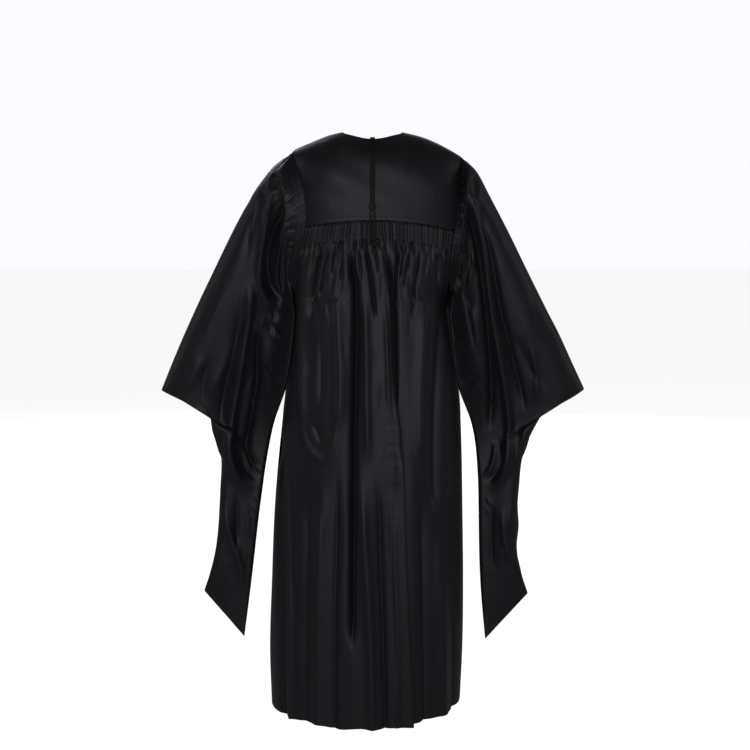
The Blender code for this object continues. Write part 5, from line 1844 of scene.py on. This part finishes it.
@dataclass(frozen=True)
class Plait:
    """The flat plaited cord down the middle of the yoke, and the knot that ends its loop.

    Attributes:
        width: The cord's width.
        thickness: Its thickness.
        pitch: Length of one crossing of its strands.
        relief: How far the strands stand out.
        button: Height at which it meets the button.
        knot: Height of the knot's middle.
        knot_radius: Radius of the knot's ring.
        knot_strand: Radius of its strand.
    """

    width: float = 0.0105
    thickness: float = 0.0020
    pitch: float = 0.0048
    relief: float = 0.00045
    button: float = -0.149
    knot: float = -0.2330
    knot_radius: float = 0.0042
    knot_strand: float = 0.0024

    def cord(self, form: BodyForm, neck: float, finish: Material) -> Object:
        """Makes the flat cord.

        Its section is a flattened ring. The strands are a sine of the length, which lags the further a
        point lies from the cord's middle, so that they cross like the barbs of a feather.

        Args:
            form: The form of the yoke.
            neck: The angle over the shoulder at which the cord starts.
            finish: The cord's material.

        Returns:
            The object.
        """
        turns = np.linspace(float(form.turn_of_height(self.button)), neck, 260)[:, None]
        around = np.linspace(0, 2 * math.pi, 33)[None]
        x = self.width / 2 * np.sign(np.cos(around)) * np.abs(np.cos(around)) ** 0.7 + 0 * turns
        base = form.over_shoulder(x, turns)
        normals = grid_normals(form.over_shoulder(np.linspace(-1, 1, 33)[None] * 0.005, turns), base)
        normals = np.broadcast_to(normals[:, 16:17], base.shape)
        run = measured(base)[..., 1]
        strands = np.abs(np.sin(math.pi * (run / self.pitch + 1.1 * np.abs(x) / self.width)))
        relief = self.relief * strands * (np.sin(around) > 0)
        lift = 0.0020 + self.thickness / 2 * (1 + np.sin(around)) + relief
        points = base + normals * lift[..., None]
        outward = np.stack([np.cos(around) + 0 * turns, np.sin(around) + 0 * turns, 0 * x], axis=-1)
        patch = Patch(points, unit(outward), measured(points), np.ones(len(turns), bool))
        return Piece("plaited_cord", finish, "braid", patches=[patch]).build("yoke_cord")

    def end_knot(self, form: BodyForm, finish: Material) -> Object:
        """Makes the knot: a small ring of cord, twisted, that lies flat on the gathers.

        Args:
            form: The form of the body.
            finish: The cord's material.

        Returns:
            The knot's object.
        """
        along = np.linspace(0, 2 * math.pi, 73)[:, None]
        around = np.linspace(0, 2 * math.pi, 25)[None]
        radius = self.knot_strand * (1 + 0.16 * np.abs(np.sin(1.5 * around + 4.5 * along)))
        reach = self.knot_radius + radius * np.cos(around)
        depth = float(form.point(90.0, self.knot)[1]) + 0.0062
        x, z = 1.15 * reach * np.cos(along), self.knot + 0.8 * reach * np.sin(along)
        ring = np.stack([x, depth + radius * np.sin(around), z], axis=-1)
        flat, out = np.cos(around), np.sin(around) + 0 * along
        outward = np.stack([flat * np.cos(along), out, flat * np.sin(along)], axis=-1)
        patch = Patch(ring, outward, measured(ring), np.ones(len(along), bool))
        return Piece("loop_knot", finish, "braid", patches=[patch]).build()


@dataclass(frozen=True)
class ZipTeeth:
    """The zip's teeth: small blocks on the edge of each tape, meshed below the slider.

    Attributes:
        pitch: Distance from one tooth to the next on a tape.
        size: A tooth's width, depth and height.
        slider: Height of the slider's middle.
        stop: Height of the lowest tooth.
        top: Height of the highest tooth.
    """

    pitch: float = 0.0020
    size: tuple[float, float, float] = (0.0024, 0.0015, 0.0011)
    slider: float = -0.150
    stop: float = -0.996
    top: float = -0.128

    def build(self, form: BodyForm, finish: Material) -> list[Object]:
        """Makes the teeth of each side as one mesh.

        Each tooth is a block whose nose is narrower than its root. Above the slider the two rows stand
        apart, and below it they reach past the middle by turns.

        Args:
            form: The form of the front.
            finish: The metal's material.

        Returns:
            The two objects.
        """
        nose = np.array([1, 1, 1, 1, -1, -1, -1, -1])
        shape = np.stack([nose, np.tile([1, 1, -1, -1], 2), np.tile([1, -1, -1, 1], 2)], axis=-1) / 2
        shape[nose < 0, 1:] *= 0.72
        corners = np.array(
            [[0, 1, 2, 3], [7, 6, 5, 4], [0, 4, 5, 1], [1, 5, 6, 2], [2, 6, 7, 3], [3, 7, 4, 0]]
        )
        made = []
        for side in Side:
            heights = np.arange(self.stop, self.top, self.pitch) + (0.5 * self.pitch) * (side is Side.RIGHT)
            depth = form.point(-90.0, heights)[..., 1] + 0.0023
            meshed = heights < self.slider
            middle = np.where(meshed, 0.00085, 0.0019) * side.value
            spots = np.stack([middle, depth - self.size[1] * 0.1, heights], axis=-1)
            blocks = spots[:, None] + shape * np.array([side.value, 1.0, 1.0]) * np.array(self.size)
            faces = (corners[None] + 8 * np.arange(len(heights))[:, None, None]).reshape(-1, 4)
            faces = faces if side is Side.RIGHT else faces[:, ::-1]
            teeth = add_mesh(f"zip_teeth_{side.word}", blocks.reshape(-1, 3), faces, finish)
            teeth.data.shade_flat()
            made.append(settle(teeth, "zip_metal"))
        return made


@dataclass(frozen=True)
class SolidTrim:
    """The trim whose solids show as they are, with a finer finish and rounder edges.

    Attributes:
        finishes: The material of each CAD node.
        edge: Width of the rounding along the metal's edges.
    """

    finishes: dict[str, Material]
    edge: float = 0.0003

    def dress(self) -> None:
        """Gives each solid its material and rounds the metal's edges."""
        for name, finish in self.finishes.items():
            bpy.data.objects[name].material_slots[0].material = finish
            log.info("%s: dressed in %s", name, finish.name)
        for name in ("zip_slider", "zip_pull_tab"):
            rounded = bpy.data.objects[name].modifiers.new("rounded", "BEVEL")
            rounded.width = self.edge
            rounded.segments = 2
            rounded.limit_method = "ANGLE"


@dataclass(frozen=True)
class Studio:
    """A plain pale floor, soft lights and the camera.

    Attributes:
        floor_height: The floor's height.
        floor_reach: Half its width.
        ambient: Strength of the even light from all round.
        camera_place: Where the camera stands.
        camera_pitch: How far it looks down, in radians.
        sensor: Width of its sensor, in millimetres.
        lens: Its focal length, from 1628 pixels in a picture 750 wide.
    """

    floor_height: float = -1.46
    floor_reach: float = 14.0
    ambient: float = 0.10
    camera_place: tuple[float, float, float] = (-0.0054, 3.6, 0.0)
    camera_pitch: float = math.atan2(0.535, 3.6)
    sensor: float = 36.0
    lens: float = 36.0 * 1628.0 / 750.0
    lights = (
        ("wide_back", (0.3, 4.6, 0.2), (0.0, 0.0, -0.55), (2.4, 3.2), 40.0),
        ("key_back", (1.7, 3.6, 1.5), (0.1, 0.0, -0.5), (0.9, 1.3), 15.0),
        ("fill_back", (-2.2, 3.6, 0.6), (-0.1, 0.0, -0.6), (0.8, 2.0), 9.0),
        ("side_left", (3.2, -0.6, 0.3), (0.2, 0.0, -0.6), (0.6, 2.0), 5.0),
        ("side_right", (-3.2, -0.6, 0.3), (-0.2, 0.0, -0.6), (0.6, 2.0), 5.0),
        ("wide_front", (-0.3, -4.6, 0.2), (0.0, 0.0, -0.55), (2.4, 3.2), 24.0),
        ("key_front", (1.7, -3.6, 1.5), (0.1, 0.0, -0.5), (0.9, 1.3), 17.0),
    )

    def floor(self) -> None:
        """Makes the floor, a wide flat sheet of paper."""
        reach = np.array([-self.floor_reach, self.floor_reach])
        x, y = np.meshgrid(reach, reach)
        corners = np.stack([x, y, 0 * x + self.floor_height], axis=-1).reshape(-1, 3)
        made = add_mesh("floor", corners, np.array([[0, 1, 3, 2]]), self.paper())
        made.visible_glossy = False

    def sky(self) -> bpy.types.World:
        """White for the camera, and a faint even light for everything else.

        Returns:
            The world.
        """
        world = bpy.data.worlds.new("studio")
        world.use_nodes = True
        graph = Graph(world.node_tree)
        seen = graph.add("ShaderNodeLightPath").outputs["Is Camera Ray"]
        strength = graph.math("MULTIPLY_ADD", seen, 1.0 - self.ambient, self.ambient)
        light = graph.add("ShaderNodeBackground", {"Color": (0.97, 0.97, 1.0, 1.0), "Strength": strength})
        graph.add("ShaderNodeOutputWorld", {"Surface": light.outputs[0]})
        return world

    def paper(self) -> Material:
        """Matt pale paper with a faint grain.

        Returns:
            The material.
        """
        made = bpy.data.materials.new("pale_paper")
        made.use_nodes = True
        graph = Graph(made.node_tree)
        place = graph.add("ShaderNodeTexCoord").outputs["Object"]
        grain = graph.add("ShaderNodeTexNoise", {0: place, "Scale": 260.0, "Detail": 3.0})
        bump = graph.add(
            "ShaderNodeBump", {"Strength": 0.08, "Distance": 0.0006, "Height": grain.outputs[0]}
        )
        shader = graph.add(
            "ShaderNodeBsdfPrincipled",
            {
                "Base Color": (0.86, 0.86, 0.86, 1.0),
                "Roughness": 0.9,
                "Normal": bump.outputs[0],
                "Emission Color": (1.0, 1.0, 1.0, 1.0),
                "Emission Strength": 0.85,
            },
        )
        graph.add("ShaderNodeOutputMaterial", {"Surface": shader.outputs[0]})
        return made

    @staticmethod
    def light(
        name: str, place: Sequence[float], aim: Sequence[float], size: Sequence[float], power: float
    ) -> None:
        """Adds a soft rectangular light.

        Args:
            name: The light's name.
            place: Where it stands.
            aim: The point that it faces.
            size: Its width and height.
            power: Its power, in watts.
        """
        data = bpy.data.lights.new(name, "AREA")
        data.shape = "RECTANGLE"
        data.size, data.size_y = size
        data.energy = power
        data.color = (0.93, 0.91, 1.0)
        made = bpy.data.objects.new(name, data)
        made.location = place
        direction = Vector(aim) - Vector(place)
        made.rotation_euler = direction.to_track_quat("-Z", "Y").to_euler()
        bpy.context.scene.collection.objects.link(made)

    def build(self) -> None:
        """Makes the floor, the lights, the world and the camera."""
        self.floor()
        for row in self.lights:
            self.light(*row)
        scene = bpy.context.scene
        scene.world = self.sky()
        scene.view_settings.view_transform = "Standard"
        data = bpy.data.cameras.new("camera")
        data.sensor_width, data.lens = self.sensor, self.lens
        camera = bpy.data.objects.new("camera", data)
        camera.location = self.camera_place
        camera.rotation_euler = (math.pi / 2 - self.camera_pitch, 0.0, math.pi)
        scene.collection.objects.link(camera)
        scene.camera = camera


def main() -> None:
    """Builds the gown's pieces, then the studio."""
    logging.basicConfig(level=logging.INFO, format="%(message)s")
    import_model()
    groups = {tree.name: tree for tree in (satin_weave(), soft_crinkle())}
    satin, metal, plaited = (finish.material(groups) for finish in (SATIN, METAL, PLAITED))
    sewing = Stitching(THREAD.material(groups))
    form = BodyForm()
    yoke = Yoke(form, satin, sewing)
    panels = BodyPanels(form, PanelSizes(), satin, sewing)
    yoke.back()
    for side in Side:
        yoke.front(side)
        panels.back(side)
        panels.front(side)
        Sleeve(form, side, satin, sewing).build()
    sewing.build()
    plait = Plait()
    plait.cord(form, float(yoke.neck_turn(0.0)), BRAID.material(groups))
    plait.end_knot(form, plaited)
    ZipTeeth().build(form, metal)
    tapes = dict.fromkeys(("zip_tape_left", "zip_tape_right"), TAPE.material(groups))
    metals = dict.fromkeys(("zip_slider", "zip_pull_tab"), metal)
    button = COVERED.material(groups)
    SolidTrim({"cord_loop": plaited, "hood_button": button, **tapes, **metals}).dress()
    Studio().build()


if __name__ == "__main__":
    main()
